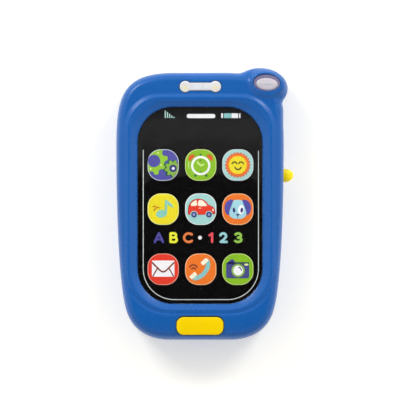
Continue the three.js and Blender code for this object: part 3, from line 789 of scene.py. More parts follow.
def back_cover(mats):
    cover = cover_skin("back", back_field, -1.2, PART_Z + 2.4, BACK_CELL)
    high = PART_Z + 3
    hollow = cavity([(WALL + 3.4, WALL), (WALL + 1.2, WALL + 1.5), (WALL, WALL + 5), (WALL, high)],
                    [(WALL + 3.2, EAR["low"] + WALL), (WALL + 0.6, 5.4), (WALL, 7.0), (WALL, high)])
    x, y0, y1, wall, roof = (TRAY[key] for key in ("x", "y0", "y1", "wall", "roof"))
    screw_y = DOOR["screw_y"]
    boolean(hollow, [
        block(-x - wall, x + wall, y0 - wall, y1 + wall, 1, roof + 1),
        prism(door_outline(1.6), 1, WALL + 1.2),
        rod(0, screw_y, 1, 7.4, 4.0),
        at_posts(0.4, PART_Z - GAP / 2, 3.8),
        speaker_ring(),
    ])
    boolean(cover, [hollow])
    sink = ((3.6, -0.6), (2.9, 0), (2.66, 0.25), (2.6, 0.6), (2.6, 5.6))
    boolean(cover, [
        block(-60, 60, -80, 80, PART_Z - GAP / 2, 30),
        grille_holes(),
        join_parts(*[turned(*post, sink) for post in CASE_POSTS]),
        at_posts(5, 13, SCREW_HOLE, 24),
        stacked(lambda grow: door_outline(GAP + grow),
                ((0.9, -0.5), (0.3, 0.0), (0.06, 0.2), (0, 0.5), (0, WALL))),
        block(-x, x, y0, y1, -1, roof),
        join_parts(*[block(hook - 3.5, hook + 3.5, -42.4, y0 + 0.2, WALL, 4.4) for hook in HOOK_X]),
        rod(0, screw_y, -1, 4.1, 2.1),
        block(-2.7, 2.7, screw_y - 2.7, screw_y + 2.7, 4.0, 8),
        *knob_cutters(),
    ])
    add_lip(cover)
    return piece("back_cover", cover, mats["shell"], "housing", ["back_cover"], 28)


def add_lip(cover):
    """The tongue inside the parting line that the front cover fits round."""
    body = shell_outline(16)
    lip = new_mesh("lip", *prism(inset(body, WALL + GAP), PART_Z - 2.5, PART_Z + 1.4))
    boolean(lip, [prism(inset(body, WALL - 0.4), PART_Z - 2.5, PART_Z - 1.2)], "UNION")
    boolean(lip, [prism(inset(body, WALL + 1.4), PART_Z - 4, PART_Z + 3)])
    boolean(lip, [
        block(HALF_W - 6, HALF_W + 3, KNOB["y"] - 10.2, KNOB["y"] + 10.2, KNOB["z"] - 2.6, 16),
        block(14, 45, 36, 60, PART_Z - 3, PART_Z + 3),
        at_posts(PART_Z - GAP / 2, 15, 3.4),
    ])
    boolean(cover, [lip], "UNION")


def battery_door(mats):
    rings = ((0.55, 0.05), (0.22, 0.14), (0.05, 0.35), (0, 0.6), (0, DOOR["thick"]))
    door = new_mesh("door", *stacked(lambda d: door_outline(-d), rings))
    y0, screw_y = DOOR["y0"], DOOR["screw_y"]
    for x in HOOK_X:
        boolean(door, [block(x - 3, x + 3, y0 + 0.1, y0 + 1.3, 1.2, 3.3)], "UNION")
        boolean(door, [block(x - 3, x + 3, y0 - 1.8, y0 + 1.2, WALL + GAP, 3.3)], "UNION")
    boolean(door, [block(x - 0.5, x + 0.5, -26.6, -25.4, 1.2, 2.6) for x in (-16, -8, 8, 16)], "UNION")
    grip = ((0.3, -0.4), (0.12, 0.05), (0, 0.2), (-0.3, 0.5))
    rows = (-16.4, -18.8, -21.2, -23.6)
    boolean(door, [join_parts(*[stacked(lambda grow: pill(0, y, 13.0, 1.3, 0.6, grow), grip) for y in rows])])
    sink = turned(0, screw_y, ((3.3, -0.4), (2.66, 0.05), (2.5, 0.25), (2.5, 1.0)))
    boolean(door, [rod(0, screw_y, -1, 5, SCREW_HOLE), sink])
    return piece("battery_door", door, mats["shell"], "battery_door", ["battery_door"])


# ---------------------------------------------------------------- front pieces
def dome_rings(outline, low, top, edge, high, steps, crown=0.0):
    """(outline, z) rings of a plate whose upper edge is rounded and whose face is slightly crowned."""
    rings = [at_z(outline(0), low)]
    for i in range(steps + 1):
        a = math.pi / 2 * i / steps
        rings.append(at_z(outline(-edge * (1 - math.cos(a))), top - crown - high * (1 - math.sin(a))))
    if crown:
        for k in (0.4, 0.75):
            rings.append(at_z(outline(-edge - 2.2 * k), top - crown * (1 - k) ** 2))
    return rings


def home_button(mats):
    y, low = HOME["y"], HOME_LOW[2] + 0.5

    def outline(grow):
        return pill(0, y, HOME["w"], HOME["h"], HOME["r"], grow, 14)

    cap = new_mesh("cap", *loft(dome_rings(outline, low, HOME_HIGH[2], 0.7, 0.55, 7, 0.12)))
    boolean(cap, [block(HOME_LOW[0], HOME_HIGH[0], y - 1.0, y + 3.7, low, ROOF_Z - 0.5)], "UNION")
    boolean(cap, [rod(0, y, HOME_LOW[2], low + 0.5, 1.8)], "UNION")
    return piece("home_button", cap, mats["button"], "home_button", ["home_button"])


def light_window(mats):
    face = new_mesh("window", *loft(dome_rings(dumbbell, 19.8, FACE_Z + 0.22, 0.5, 0.42, 6)))
    y = WINDOW["y"]
    flange = new_mesh("flange", *prism(dumbbell(1.2), 19.4, 20.6))
    boolean(flange, [block(-20, 20, y - 9, y - 3.2, 10, 30), block(-20, 20, y + 0.9, y + 9, 10, 30)])
    boolean(face, [flange], "UNION")
    return piece("light_window", face, mats["window"], "housing", ["light_window"])


def diffuser_oval(grow):
    """The milky lens sits low in its bezel, towards the middle of the phone."""
    return ellipse(TORCH["x"] + 0.05, TORCH["y"] - 0.6, 4.6 + grow, 2.6 + grow, TORCH["turn"])


def torch_lens(mats):
    rings = dome_rings(diffuser_oval, 21.9, TORCH["level"] + 0.75, 1.2, 0.55, 8, 0.18)
    return piece("torch_lens", loft(rings), mats["torch"], "housing", ["torch_lens"])


def torch_reflector(mats):
    """A cup behind the lens, with the sloping bezel that shows above it."""
    def cup(shift, levels):
        return [at_z(ellipse(TORCH["x"], TORCH["y"], 2.2 + 3.35 * k + shift, 2.2 + 0.9 * k + shift,
                             TORCH["turn"]), z) for k, z in levels]

    top = TORCH["level"]
    outer = cup(0, ((0, 17.6), (0.3, 18.3), (0.6, 19.5), (0.85, 20.6), (1, 21.6)))
    slope = ((-0.1, 0.3), (-0.22, 0.45), (-0.45, 0.42))
    bezel = [at_z(oval(TORCH, grow), top + rise) for grow, rise in slope]
    seat = [at_z(diffuser_oval(0.06), top + 0.16), at_z(diffuser_oval(0.02), 21.4)]
    inner = cup(-0.4, ((0.85, 20.7), (0.6, 19.7), (0.3, 18.6), (0, 17.9), (0, 17.6)))
    shape = loft(outer + bezel + seat + inner, closed=True)
    return piece("torch_reflector", shape, mats["reflector"], "housing", ["torch_reflector"])


def lamps(mats):
    """Three lamps with a collar and a round head."""
    for name in ("led_left", "led_right", "torch_led"):
        low, high = node_box(name)
        x, y, _ = node_middle(name)
        neck = high[2] - low[2] - 1.3
        profile = [(0, 0), (1.75, 0), (1.75, 0.5), (1.68, 0.6), (1.5, 0.6), (1.5, neck)]
        profile += [(1.5 * math.cos(a), neck + 1.3 * math.sin(a)) for a in np.radians((15, 30, 45, 60, 75))]
        verts, faces = lathe(profile + [(0, neck + 1.3)], 28)
        piece(name, (verts + (x, y, low[2]), faces), mats["led"], "housing", [name])


def screen_lens(mats):
    low, high = LENS_LOW[2], LENS_HIGH[2]
    shape = stacked(lambda d: rounded_rect(SCREEN, -0.14 - d, 24), (
        (0.12, low), (0, low + 0.12), (0, high - 0.3), (0.06, high - 0.1), (0.2, high + 0.02),
        (0.45, high + 0.05)))
    return piece("screen_lens", shape, mats["lens"], "housing", ["screen_lens"])


def power_knob(mats):
    """A short half-round nub with a softened face, on a square stem and a sliding shoe."""
    y, z, h = KNOB["y"], KNOB["z"], KNOB["stem"] / 2
    profile = ((35.0, 2.6), (36.2, 2.65), (36.8, 2.6), (37.4, 2.45), (38.0, 2.18), (38.6, 1.76),
               (39.05, 1.28), (39.32, 0.8))
    rings = [at_z(pill(y, z, 2 * r + 0.3, 2 * r - 0.3, r - 0.16, 0, 12), x) for x, r in profile]
    rings.append(at_z(pill(y, z, 0.6, 0.4, 0.19, 0, 12), KNOB["tip"]))
    knob = new_mesh("knob", *along_x(loft(rings)))
    stem = block(31.6, 35.3, y - h, y + h, z - h, z + h)
    shoe = block(31.6, 32.8, y - 7, y + 7, z - 2.1, z + 2.1)
    boolean(knob, [stem, shoe], "UNION")
    boolean(knob, [block(30, 33.6, y - 1.1, y + 1.1, z - 1.2, z + 1.2)])
    return piece("power_knob", knob, mats["knob"], "power_knob", ["power_knob"])


# ---------------------------------------------------------------- inside pieces
CELLS = (("battery_1", 1), ("battery_2", -1))


def batteries(mats):
    """Two cells, head to tail, each a wrapped can with steel ends and a raised positive cap."""
    for name, sign in CELLS:
        low, high = node_box(name)
        length, r = high[0] - low[0], (high[2] - low[2]) / 2
        start = low[0] if sign > 0 else high[0]
        _, y, z = node_middle(name)
        can = [(0, 0), (4.3, 0), (4.75, 0.12), (4.9, 0.4), (5.05, 0.42), (r, 0.62), (r, length - 1.95),
               (r - 0.2, length - 1.6), (4.75, length - 1.35), (4.3, length - 1.3), (2.4, length - 1.25),
               (1.9, length - 1.1), (1.85, length - 0.25), (1.6, length), (0, length)]
        verts, faces = lathe(can, 56)
        verts = verts[:, [2, 1, 0]] * (sign, 1, -sign)
        cell = piece(name, (verts + (start, y, z), faces), mats["wrap"], "housing", [name])
        cell.data.materials.append(mats["steel"])
        for face in cell.data.polygons:
            along = abs(face.center.x / MM - start)
            if along < 0.5 or along > length - 1.35:
                face.material_index = 1


def cell_bands(mats):
    """A thin pale sleeve near the positive end of each cell."""
    outer, inner, width = 5.29, 5.24, 9.0
    spans = ((outer, 0.0), (outer, width), (inner, width), (inner, 0.0))
    for name, sign in CELLS:
        low, high = node_box(name)
        _, y, z = node_middle(name)
        end = high[0] - 2.2 if sign > 0 else low[0] + 2.2
        verts, faces = loft([at_z(ellipse(0, 0, q, q, 0, 56), h) for q, h in spans], closed=True)
        verts = verts[:, [2, 1, 0]] * (-sign, 1, sign)
        piece(name + "_band", (verts + (end, y, z), faces), mats["wrap_band"], "housing")


def screws(mats):
    """Pan-head screws with a cross recess and a rolled thread."""
    for name in ("case_screw_1", "case_screw_2", "case_screw_3", "case_screw_4", "door_screw"):
        low, high = node_box(name)
        x, y, _ = node_middle(name)
        length = high[2] - low[2]
        head_r, head_h, body = (2.08, 0.85, name) if name == "door_screw" else (2.2, 1.9, "housing")
        profile = [(0, 0), (head_r - 0.45, 0), (head_r - 0.12, 0.12), (head_r, 0.4), (head_r, head_h)]
        profile.append((1.0, head_h))
        h = head_h + 0.5
        while h < length - 0.9:
            profile += [(0.86, h), (1.1, h + 0.28), (0.86, h + 0.56)]
            h += 0.6
        profile += [(0.8, length - 0.3), (0.3, length), (0, length)]
        verts, faces = lathe(profile, 28)
        screw = new_mesh(name, verts + (x, y, low[2]), faces)
        arm, thick = head_r * 0.58, 0.24
        for dx, dy in ((arm, thick), (thick, arm)):
            boolean(screw, [block(x - dx, x + dx, y - dy, y + dy, low[2] - 1, low[2] + head_h * 0.6)])
        piece(name, screw, mats["steel"], body, [name], 40)


CAD_MATERIALS = {
    "board": ["main_board"],
    "pad": ["touch_pad_%d" % k for k in range(1, 10)],
    "silicone": ["home_dome"],
    "black": ["switch_slider", "switch_body", "speaker_frame", "sound_chip", "capacitor"],
    "paper": ["speaker_cone"],
    "steel": ["speaker_magnet", "battery_bridge", "contact_positive", "contact_negative"]
             + ["board_screw_%d" % k for k in range(1, 5)],
    "spring": ["bridge_spring", "negative_spring"],
    "brass": ["door_nut"],
    "red": ["wire_battery_red", "wire_speaker_red"],
    "dark": ["wire_battery_black", "wire_speaker_black"],
}


def dress_cad(mats):
    """The CAD parts that stay get the same kinds of material as the new pieces."""
    for key, names in CAD_MATERIALS.items():
        for name in names:
            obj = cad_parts[name]
            for socket in obj.material_slots:
                socket.material = mats[key]


# ---------------------------------------------------------------- printed screen
INK_LOW = PRINT_HIGH[2]
INK_STEP = 0.04
INKS = dict(
    purple=(84, 80, 166), lime=(139, 192, 34), lime2=(150, 200, 50), lime_dark=(140, 185, 70),
    pale_lime=(214, 232, 150), pale_yellow=(240, 244, 170), navy=(50, 50, 124), white=(248, 247, 249),
    cream=(252, 244, 220), green=(26, 92, 60), orange_red=(226, 92, 40), teal_pale=(165, 215, 210),
    orange=(240, 122, 38), yellow=(238, 222, 40), olive=(52, 50, 20), teal=(138, 204, 190),
    brown_orange=(200, 120, 40), red=(230, 60, 40), dark_red=(170, 34, 26), sky=(165, 215, 225),
    peach=(252, 206, 160), pink=(246, 176, 156), fold=(132, 58, 44), teal_mid=(140, 200, 200),
    slate=(70, 90, 90), silver=(232, 240, 236), letter_violet=(84, 78, 162), letter_yellow=(240, 240, 60),
    letter_orange=(235, 130, 70), letter_red=(230, 80, 90), letter_sky=(160, 215, 220),
    letter_lime=(150, 200, 80), pale_grey=(214, 222, 228), status_teal=(186, 226, 218),
    sun_red=(224, 104, 62), hub_blue=(150, 165, 205), camera_blue=(72, 72, 138),
)


class Print:
    """One printed picture: flat shapes stacked in thin layers, each in its own ink."""

    def __init__(self, name, x=0.0, y=0.0):
        self.name = name
        self.at = np.array((x, y))
        self.parts = []

    def add(self, ink, level, *outlines, crop=0.0):
        """Adds flat shapes. With crop, what reaches past the tile, less that margin, is cut away."""
        sunk = 0.02 if level == 1 else 0.004
        top = INK_LOW + INK_STEP * level
        for points in outlines:
            shape = prism(np.asarray(points, float) + self.at, top - INK_STEP - sunk, top)
            self.parts.append((ink, self.cropped(shape, crop) if crop else shape))

    def cropped(self, shape, margin):
        obj = new_mesh("ink", *shape)
        edge = prism(rounded_rect(TILE, -margin, 12) + self.at, INK_LOW - 1, INK_LOW + 2)
        boolean(obj, [edge], "INTERSECT")
        verts = np.array([v.co for v in obj.data.vertices]) / MM
        faces = [tuple(f.vertices) for f in obj.data.polygons]
        bpy.data.objects.remove(obj)
        return verts, faces

    def build(self, inks):
        used = sorted({ink for ink, _ in self.parts})
        shape = join_parts(*[part for _, part in self.parts])
        obj = piece(self.name, shape, None, "housing")
        for ink in used:
            obj.data.materials.append(inks[ink])
        index = []
        for ink, (_, faces) in self.parts:
            index += [used.index(ink)] * len(faces)
        obj.data.polygons.foreach_set("material_index", index)
        obj.data.update()


def ccw(points):
    """The same outline, counter-clockwise."""
    points = np.asarray(points, float)
    x, y = points.T
    return points[::-1] if (x * np.roll(y, -1) - y * np.roll(x, -1)).sum() < 0 else points


def disc(x, y, r, ry=None, turn=0.0, steps=32):
    return ellipse(x, y, r, r if ry is None else ry, turn, steps)


def arc(x, y, r, start, end, steps=18, ry=None):
    a = np.radians(np.linspace(start, end, steps))
    return np.stack([x + r * np.cos(a), y + (r if ry is None else ry) * np.sin(a)], 1)


def stroke(points, width):
    """Outline of a rounded pen stroke along an open path."""
    p = np.asarray(points, float)
    along = np.gradient(p, axis=0)
    along /= np.linalg.norm(along, axis=1)[:, None]
    side = np.stack([-along[:, 1], along[:, 0]], 1) * width / 2
    heading = np.arctan2(along[:, 1], along[:, 0])
    caps = []
    for k, quarter in ((-1, math.pi / 2), (0, -math.pi / 2)):
        a = heading[k] + quarter - np.linspace(0, math.pi, 7)[1:-1]
        caps.append(p[k] + width / 2 * np.stack([np.cos(a), np.sin(a)], 1))
    return ccw(np.vstack([p + side, caps[0], (p - side)[::-1], caps[1]]))


def line(a, b, width):
    """Outline of a straight pen stroke."""
    a, b = np.array(a, float), np.array(b, float)
    return stroke((a, (a + b) / 2, b), width)


def wavy(x, y, r, depth, waves):
    a = np.linspace(0, 2 * math.pi, 260, endpoint=False)
    r = r + depth * np.cos(waves * a)
    return np.stack([x + r * np.cos(a), y + r * np.sin(a)], 1)


def smooth(points, count=24):
    """Points along a soft curve through the given ones."""
    p = np.asarray(points, float)
    t = np.linspace(0, len(p) - 1, count)
    padded = np.vstack([2 * p[0] - p[1], p, 2 * p[-1] - p[-2]])
    i = np.minimum(t.astype(int), len(p) - 2)
    f = (t - i)[:, None]
    a, b, c, d = (padded[i + k] for k in range(4))
    cubic = 3 * b - a - 3 * c + d
    return 0.5 * (2 * b + (c - a) * f + (2 * a - 5 * b + 4 * c - d) * f * f + cubic * f ** 3)


def blob(points):
    """Closed soft outline through the given points."""
    p = np.asarray(points, float)
    wrapped = np.vstack([p[-2:], p, p[:3]])
    n = len(p)
    whole = smooth(wrapped, (n + 4) * 48 // n + 1)
    t = np.linspace(0, len(wrapped) - 1, len(whole))
    return ccw(whole[(t >= 2 - 1e-9) & (t < n + 2 - 1e-9)])


def gear(x, y, root, tip, teeth, phase=0.0):
    """Gear outline with broad teeth and eased corners."""
    a = np.linspace(0, 2 * math.pi, teeth * 16, endpoint=False)
    wave = np.clip(np.cos(a * teeth + phase) * 2.2, -1, 1)
    r = root + (tip - root) * (wave + 1) / 2
    return np.stack([x + r * np.cos(a), y + r * np.sin(a)], 1)


# The picture tiles: a rounded rectangle like SCREEN, and the width of its border.
TILE = (6.54, 6.6, -6.6, 5.5, 5.5)
TILE_BORDER = 0.27


def tile(name, column, row, border, ground):
    """A picture tile centred over its touch pad: border and ground."""
    x, y, _ = node_middle("touch_pad_%d" % (3 * row + column + 1))
    picture = Print(name, x, y)
    picture.add(border, 1, rounded_rect(TILE, 0, 14))
    picture.add(ground, 2, rounded_rect(TILE, -TILE_BORDER, 14))
    return picture


def tile_gears():
    p = tile("print_gears", 0, 0, "pale_grey", "purple")
    p.add("lime2", 3, gear(-3.95, 1.75, 4.6, 5.95, 8, 4.6), crop=TILE_BORDER)
    p.add("purple", 4, disc(-3.85, 1.7, 2.6))
    p.add("pale_yellow", 4, disc(-0.9, 0.0, 0.36), disc(-2.2, 5.1, 0.34), disc(-5.3, -1.6, 0.34))
    p.add("green", 4, gear(3.75, -1.45, 3.0, 3.85, 9, 1.4), crop=TILE_BORDER)
    p.add("lime_dark", 5, gear(4.15, -1.45, 2.7, 3.5, 9, 1.4), crop=TILE_BORDER)
    p.add("navy", 6, disc(4.15, -1.45, 1.55))
    p.add("white", 7, disc(4.2, -1.45, 0.6))
    return p


def tile_clock():
    p = tile("print_clock", 1, 0, "pale_lime", "lime")
    p.add("green", 3, disc(-2.2, -4.45, 0.5), disc(2.35, -4.5, 0.5), disc(0, 4.3, 0.42))
    for side in (-1, 1):
        half = arc(0, 0, 1.65, 0, 180, 16)
        c, s = math.cos(-side * 0.8), math.sin(-side * 0.8)
        p.add("orange_red", 3, half @ np.array(((c, s), (-s, c))) + (side * 3.45, 2.75))
    p.add("white", 4, disc(0, -0.25, 4.07, None, 0, 48))
    p.add("lime", 5, disc(0, -0.25, 3.12, None, 0, 48))
    p.add("green", 6, disc(0, 2.0, 0.3), disc(0, -2.9, 0.3))
    p.add("pale_lime", 6, line((0, -0.3), (-1.5, 1.3), 0.6))
    p.add("pale_lime", 7, line((0, -0.3), (1.2, 0.3), 0.6))
    p.add("pale_lime", 5, stroke(arc(0, 0, 5.15, 166, 196, 10), 0.3))
    return p


def tile_sun():
    p = tile("print_sun", 2, 0, "pale_grey", "teal_pale")
    p.add("sun_red", 3, wavy(0, 0, 5.2, 0.3, 24))
    p.add("orange", 4, wavy(0, 0, 4.62, 0.26, 24))
    p.add("yellow", 5, disc(0, 0, 3.75, None, 0, 48))
    for x in (-1.4, 1.4):
        p.add("olive", 6, stroke(arc(x, 0.3, 0.98, 12, 168), 0.52))
    p.add("olive", 6, stroke(arc(0.1, -0.6, 1.3, 196, 344), 0.6))
    return p


def tile_note():
    p = tile("print_note", 0, 1, "pale_yellow", "yellow")
    p.add("teal", 3, disc(-0.75, -1.95, 2.25, 1.65, 0.2))
    p.add("teal", 4, ccw(((0.7, -2.1), (1.6, -2.1), (1.75, 3.9), (0.75, 3.9))))
    flag = ((0.75, 3.95), (1.7, 3.6), (3.2, 2.5), (4.2, 1.2), (3.9, 0.6), (2.8, 1.4), (1.6, 2.2))
    p.add("teal", 5, blob(flag))
    p.add("brown_orange", 3, stroke(smooth(((-4.3, 1.0), (-3.7, 1.3), (-2.6, 0.75), (-1.7, 0.6)), 16), 0.5),
          stroke(smooth(((-3.8, -0.7), (-3.6, -0.1), (-2.9, 0.15)), 12), 0.5))
    return p


def tile_car():
    p = tile("print_car", 1, 1, "white", "teal_pale")
    body = blob(((-5.2, -2.2), (-5.35, -0.2), (-5.0, 1.7), (-3.5, 3.7), (-1.3, 4.4), (0.8, 4.15),
                 (2.3, 3.1), (3.25, 2.0), (5.3, 0.8), (6.0, -0.4), (5.95, -2.0), (3.0, -2.35),
                 (0.0, -2.4), (-3.0, -2.4)))
    middle = np.array((0.3, 0.6))
    p.add("dark_red", 3, body, crop=TILE_BORDER)
    p.add("red", 4, (body - middle) * 0.94 + middle, crop=TILE_BORDER)
    p.add("cream", 5, blob(((-4.1, 1.5), (-3.7, 2.7), (-1.95, 3.8), (-1.7, 2.6), (-1.8, 1.45))),
          blob(((-1.0, 1.45), (-0.8, 3.7), (0.8, 3.6), (2.2, 2.2), (2.5, 1.4))),
          disc(5.2, -0.35, 0.35, 0.5), line((-0.7, 0.45), (0, 0.45), 0.26))
    for x in (-2.85, 3.45):
        for ink, level, r in (("teal_pale", 5, 1.55), ("navy", 6, 1.2), ("hub_blue", 7, 0.55)):
            p.add(ink, level, disc(x, -2.3, r))
    return p


def tile_puppy():
    p = tile("print_puppy", 2, 1, "peach", "orange")
    ear = np.array(((2.0, 3.7), (4.3, 3.4), (5.5, 1.4), (5.3, -1.1), (4.0, -2.5), (2.8, -1.0)))
    p.add("purple", 3, blob(ear * (-1, 1)), blob(ear))
    p.add("sky", 4, blob(((-1.7, 3.6), (0, 3.9), (1.7, 3.6), (2.6, 1.6), (3.55, -1.2), (3.3, -2.9),
                          (1.8, -3.9), (0, -4.05), (-1.8, -3.9), (-3.3, -2.9), (-3.55, -1.2), (-2.6, 1.6))))
    p.add("white", 5, disc(1.35, -0.2, 1.25, 1.95, -0.15))
    p.add("navy", 6, disc(-1.6, -0.4, 0.55, 1.05, 0.12), disc(1.7, -0.4, 0.55, 1.05, -0.12))
    p.add("navy", 6, blob(((-0.75, -2.1), (0, -2.0), (0.75, -2.1), (0, -2.9))))
    p.add("navy", 5, stroke(((0, -2.5), (0, -3.2), (0, -3.8)), 0.26))
    return p


def tile_letter():
    p = tile("print_envelope", 0, 2, "pink", "red")
    p.add("white", 3, pill(0, 0.25, 9.5, 6.8, 0.4, 0, 5))
    p.add("fold", 4, line((-2.6, 0.1), (-4.3, -2.9), 0.55), line((2.6, 0.1), (4.3, -2.9), 0.55))
    flap = ((-4.5, 2.75), (-1.3, -0.45), (0, -1.05), (1.3, -0.45), (4.5, 2.75))
    p.add("fold", 5, stroke(smooth(flap, 30), 0.65))
    return p


def tile_handset():
    p = tile("print_handset", 1, 2, "peach", "orange")
    band = ((2.75, 3.5), (3.05, 1.9), (2.35, -0.4), (0.7, -2.4), (-1.1, -3.5), (-2.5, -3.85))
    p.add("teal_mid", 3, stroke(smooth(band, 36), 1.85))
    a = math.radians(42)
    turn = np.array(((math.cos(a), math.sin(a)), (-math.sin(a), math.cos(a))))
    for x, y in ((1.6, 3.2), (-3.15, -2.7)):
        p.add("cream", 4, pill(0, 0, 3.2, 1.7, 0.45) @ turn + (x, y))
    p.add("fold", 3, stroke(arc(-3.1, 0.1, 1.75, 28, 152), 0.62),
          stroke(arc(-3.0, -0.4, 0.9, 30, 150), 0.58))
    return p


def tile_camera():
    p = tile("print_camera", 2, 2, "pale_lime", "lime")
    p.add("camera_blue", 3, pill(-0.05, -0.4, 9.7, 6.8, 1.0),
          blob(((-4.2, 2.4), (-3.1, 4.0), (-1.9, 4.0), (-0.9, 2.4))))
    p.add("slate", 4, pill(1.6, 2.5, 6.4, 0.9, 0.4))
    p.add("lime_dark", 5, disc(0.15, -0.55, 2.8, None, 0, 44))
    p.add("white", 6, disc(0.15, -0.55, 2.05, None, 0, 40))
    p.add("navy", 7, stroke(arc(0.15, -0.55, 1.35, 5, 75), 0.5))
    p.add("pale_yellow", 5, disc(3.6, 1.95, 0.85, 0.42))
    return p


LETTER_HEIGHT = 4.6
PEN = 1.02


def label_row():
    """A B C, a dot, and 1 2 3, in a plain rounded pen."""
    v = (LETTER_HEIGHT - PEN) / 2
    p = Print("print_labels", 0, -13.2)
    p.add("letter_violet", 1, line((-19.0, -v), (-17.3, v), PEN))
    p.add("letter_violet", 2, line((-15.6, -v), (-17.3, v), PEN))
    p.add("letter_violet", 3, line((-18.2, -0.75), (-16.4, -0.75), PEN * 0.85))
    stem, waist = -12.4, 0.1
    p.add("letter_yellow", 1, line((stem, -v), (stem, v), PEN))
    upper = np.vstack([((stem, v),), arc(-11.0, 0.98, 0.88, 90, -90, 14), ((stem, waist),)])
    lower = np.vstack([((stem, waist),), arc(-10.8, -0.87, 0.97, 90, -90, 14), ((stem, -v),)])
    p.add("letter_yellow", 2, stroke(upper, PEN))
    p.add("letter_yellow", 3, stroke(lower, PEN))
    p.add("letter_orange", 1, stroke(arc(-4.75, 0, 1.95, 48, 312, 30, v), PEN))
    p.add("white", 1, disc(0, 0, 0.8))
    p.add("letter_red", 1, line((5.1, -v), (5.1, v), PEN))
    p.add("letter_red", 2, stroke(((5.1, v), (4.55, v - 0.35), (3.95, v - 0.85)), PEN * 0.9))
    two = np.vstack([arc(9.75, 0.68, 1.2, 165, -30, 20, v - 0.68), ((9.85, -0.9), (8.7, -v))])
    p.add("letter_sky", 1, stroke(two, PEN))
    p.add("letter_sky", 2, line((8.7, -v), (11.2, -v), PEN))
    p.add("letter_lime", 1, stroke(arc(16.0, 0.92, 1.2, 150, -90, 18, v - 0.92), PEN))
    p.add("letter_lime", 2, stroke(arc(16.0, -0.9, 1.4, 90, -150, 20, v - 0.9), PEN))
    return p


def status_row():
    """Signal bars, a pill and a battery gauge along the top of the screen."""
    p = Print("print_status")
    for k, high in enumerate((3.1, 2.45, 1.7, 1.0, 0.45)):
        p.add("status_teal", 1, pill(-14.6 + 0.92 * k, 37.2 + high / 2, 0.46, high, 0.1, 0, 3))
    p.add("white", 1, pill(0.45, 38.0, 12.0, 1.75, 0.87))
    middle = 38.15
    p.add("white", 1, pill(9.3, middle, 0.75, 2.0, 0.2, 0, 4), pill(14.65, middle, 2.85, 2.0, 0.2, 0, 4),
          pill(16.75, middle, 0.55, 2.0, 0.15, 0, 4))
    p.add("teal_mid", 1, pill(11.6, middle, 3.1, 2.0, 0.2, 0, 4))
    return p


def screen_line():
    """The thin silver line down both sides and round the foot of the screen."""
    x0, x1, low, r = -23.9, 24.6, -39.3, 13.0
    left = np.stack([np.full(12, x0), np.linspace(23.7, low + r, 12)], 1)
    right = np.stack([np.full(12, x1), np.linspace(low + r, 23.3, 12)], 1)
    corners = arc(x0 + r, low + r, r, 180, 270, 20), arc(x1 - r, low + r, r, 270, 360, 20)
    p = Print("print_line")
    p.add("silver", 1, stroke(np.vstack([left[:-1], *corners, right[1:]]), 0.27))
    return p


PICTURES = (tile_gears, tile_clock, tile_sun, tile_note, tile_car, tile_puppy, tile_letter, tile_handset,
            tile_camera, label_row, status_row, screen_line)


def printed_screen(mats):
    """The black film, and the pictures printed on it."""
    low, high = PRINT_LOW[2], PRINT_HIGH[2]
    film = stacked(lambda grow: rounded_rect(SCREEN, grow, 24),
                   ((-0.3, low), (-0.25, low + 0.05), (-0.25, high)))
    piece("screen_film", film, mats["film"], "housing", ["screen_print"])
    inks = {key: printed("ink_" + key, rgb(*color)) for key, color in INKS.items()}
    for picture in PICTURES:
        picture().build(inks)


# ---------------------------------------------------------------- studio
FLOOR_COLORS = ((0.95, 0.93, 0.865, 1), (0.97, 0.95, 0.885, 1))
FLOOR_GLOW = (1, 0.99, 0.965, 1)
FLOOR_GLOW_STRENGTH = 0.295
# Watts of the two corner keys and of the faint light overhead.
KEY_LEFT, KEY_RIGHT, OVERHEAD = 4.2, 3.7, 0.055
# Brightness of the dome, by height and then by Y: first and last direction, brightness at each.
DOME_RISE = (0.84, 0.95, 0.88, 0.01)
DOME_FOOT = (-0.7, 0.0, 0.74, 1.0)
# The camera hangs over the face, which is VIEW_WIDTH wide in the picture.
CAMERA_HEIGHT = 2500.0
VIEW_WIDTH = 168.4
VIEW_Y = 2.65
SENSOR = 36.0


def floor():
    mesh = new_mesh("floor", *block(-1500, 1500, -1500, 1500, -12, -0.05))
    m = Nodes("floor_white")
    m.base(m.spread(m.noise(0.01, 2.0), 0, 1), *FLOOR_COLORS)
    m.set(Roughness=0.9, Specular_IOR_Level=0.1)
    m.set(Emission_Color=FLOOR_GLOW, Emission_Strength=FLOOR_GLOW_STRENGTH)
    mesh.data.materials.append(m.material)


def area_light(name, place, size, power, target=(0, 0, 10)):
    light = bpy.data.lights.new(name, "AREA")
    light.shape = "RECTANGLE"
    light.size, light.size_y = size[0] * MM, size[1] * MM
    light.energy = power
    obj = bpy.data.objects.new(name, light)
    bpy.context.scene.collection.objects.link(obj)
    obj.location = Vector(place) * MM
    obj.rotation_euler = (Vector(target) - Vector(place)).to_track_quat("-Z", "Y").to_euler()


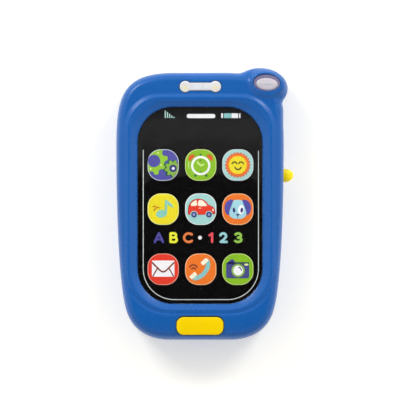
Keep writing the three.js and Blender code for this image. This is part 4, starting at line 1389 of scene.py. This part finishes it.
def dome():
    """A white dome, dark straight overhead, where the camera hangs, and dimmer behind the phone's foot."""
    world = bpy.data.worlds.new("studio")
    bpy.context.scene.world = world
    world.use_nodes = True
    tree = world.node_tree
    coords = tree.nodes.new("ShaderNodeTexCoord")
    split = tree.nodes.new("ShaderNodeSeparateXYZ")
    tree.links.new(coords.outputs["Generated"], split.inputs[0])
    product = tree.nodes.new("ShaderNodeMath")
    product.operation = "MULTIPLY"
    for slot, (axis, limits) in enumerate((("Z", DOME_RISE), ("Y", DOME_FOOT))):
        change = tree.nodes.new("ShaderNodeMapRange")
        change.interpolation_type = "SMOOTHSTEP"
        for key, value in zip(("From Min", "From Max", "To Min", "To Max"), limits):
            change.inputs[key].default_value = value
        tree.links.new(split.outputs[axis], change.inputs["Value"])
        tree.links.new(change.outputs[0], product.inputs[slot])
    background = tree.nodes["Background"]
    background.inputs["Color"].default_value = (1, 1, 1, 1)
    tree.links.new(product.outputs[0], background.inputs["Strength"])


def studio():
    floor()
    dome()
    area_light("key_left", (-560, 640, 620), (360, 360), KEY_LEFT)
    area_light("key_right", (560, 640, 620), (360, 360), KEY_RIGHT)
    area_light("overhead", (0, 115, 620), (360, 190), OVERHEAD, target=(0, 115, 0))


def camera():
    data = bpy.data.cameras.new("camera")
    distance = CAMERA_HEIGHT - FACE_Z
    data.sensor_width = SENSOR
    data.lens = SENSOR * distance / VIEW_WIDTH
    data.clip_start = 0.01
    data.dof.use_dof = False
    obj = bpy.data.objects.new("camera", data)
    bpy.context.scene.collection.objects.link(obj)
    obj.location = (0, VIEW_Y * MM, CAMERA_HEIGHT * MM)
    bpy.context.scene.camera = obj
    bpy.context.scene.view_settings.view_transform = "Standard"


# ---------------------------------------------------------------- whole toy
PIECES = (front_cover, back_cover, battery_door, home_button, light_window, torch_lens, torch_reflector,
          lamps, screen_lens, power_knob, batteries, cell_bands, screws, printed_screen, dress_cad)


def build():
    camera()
    studio()
    mats = make_materials()
    for make in PIECES:
        make(mats)


build()
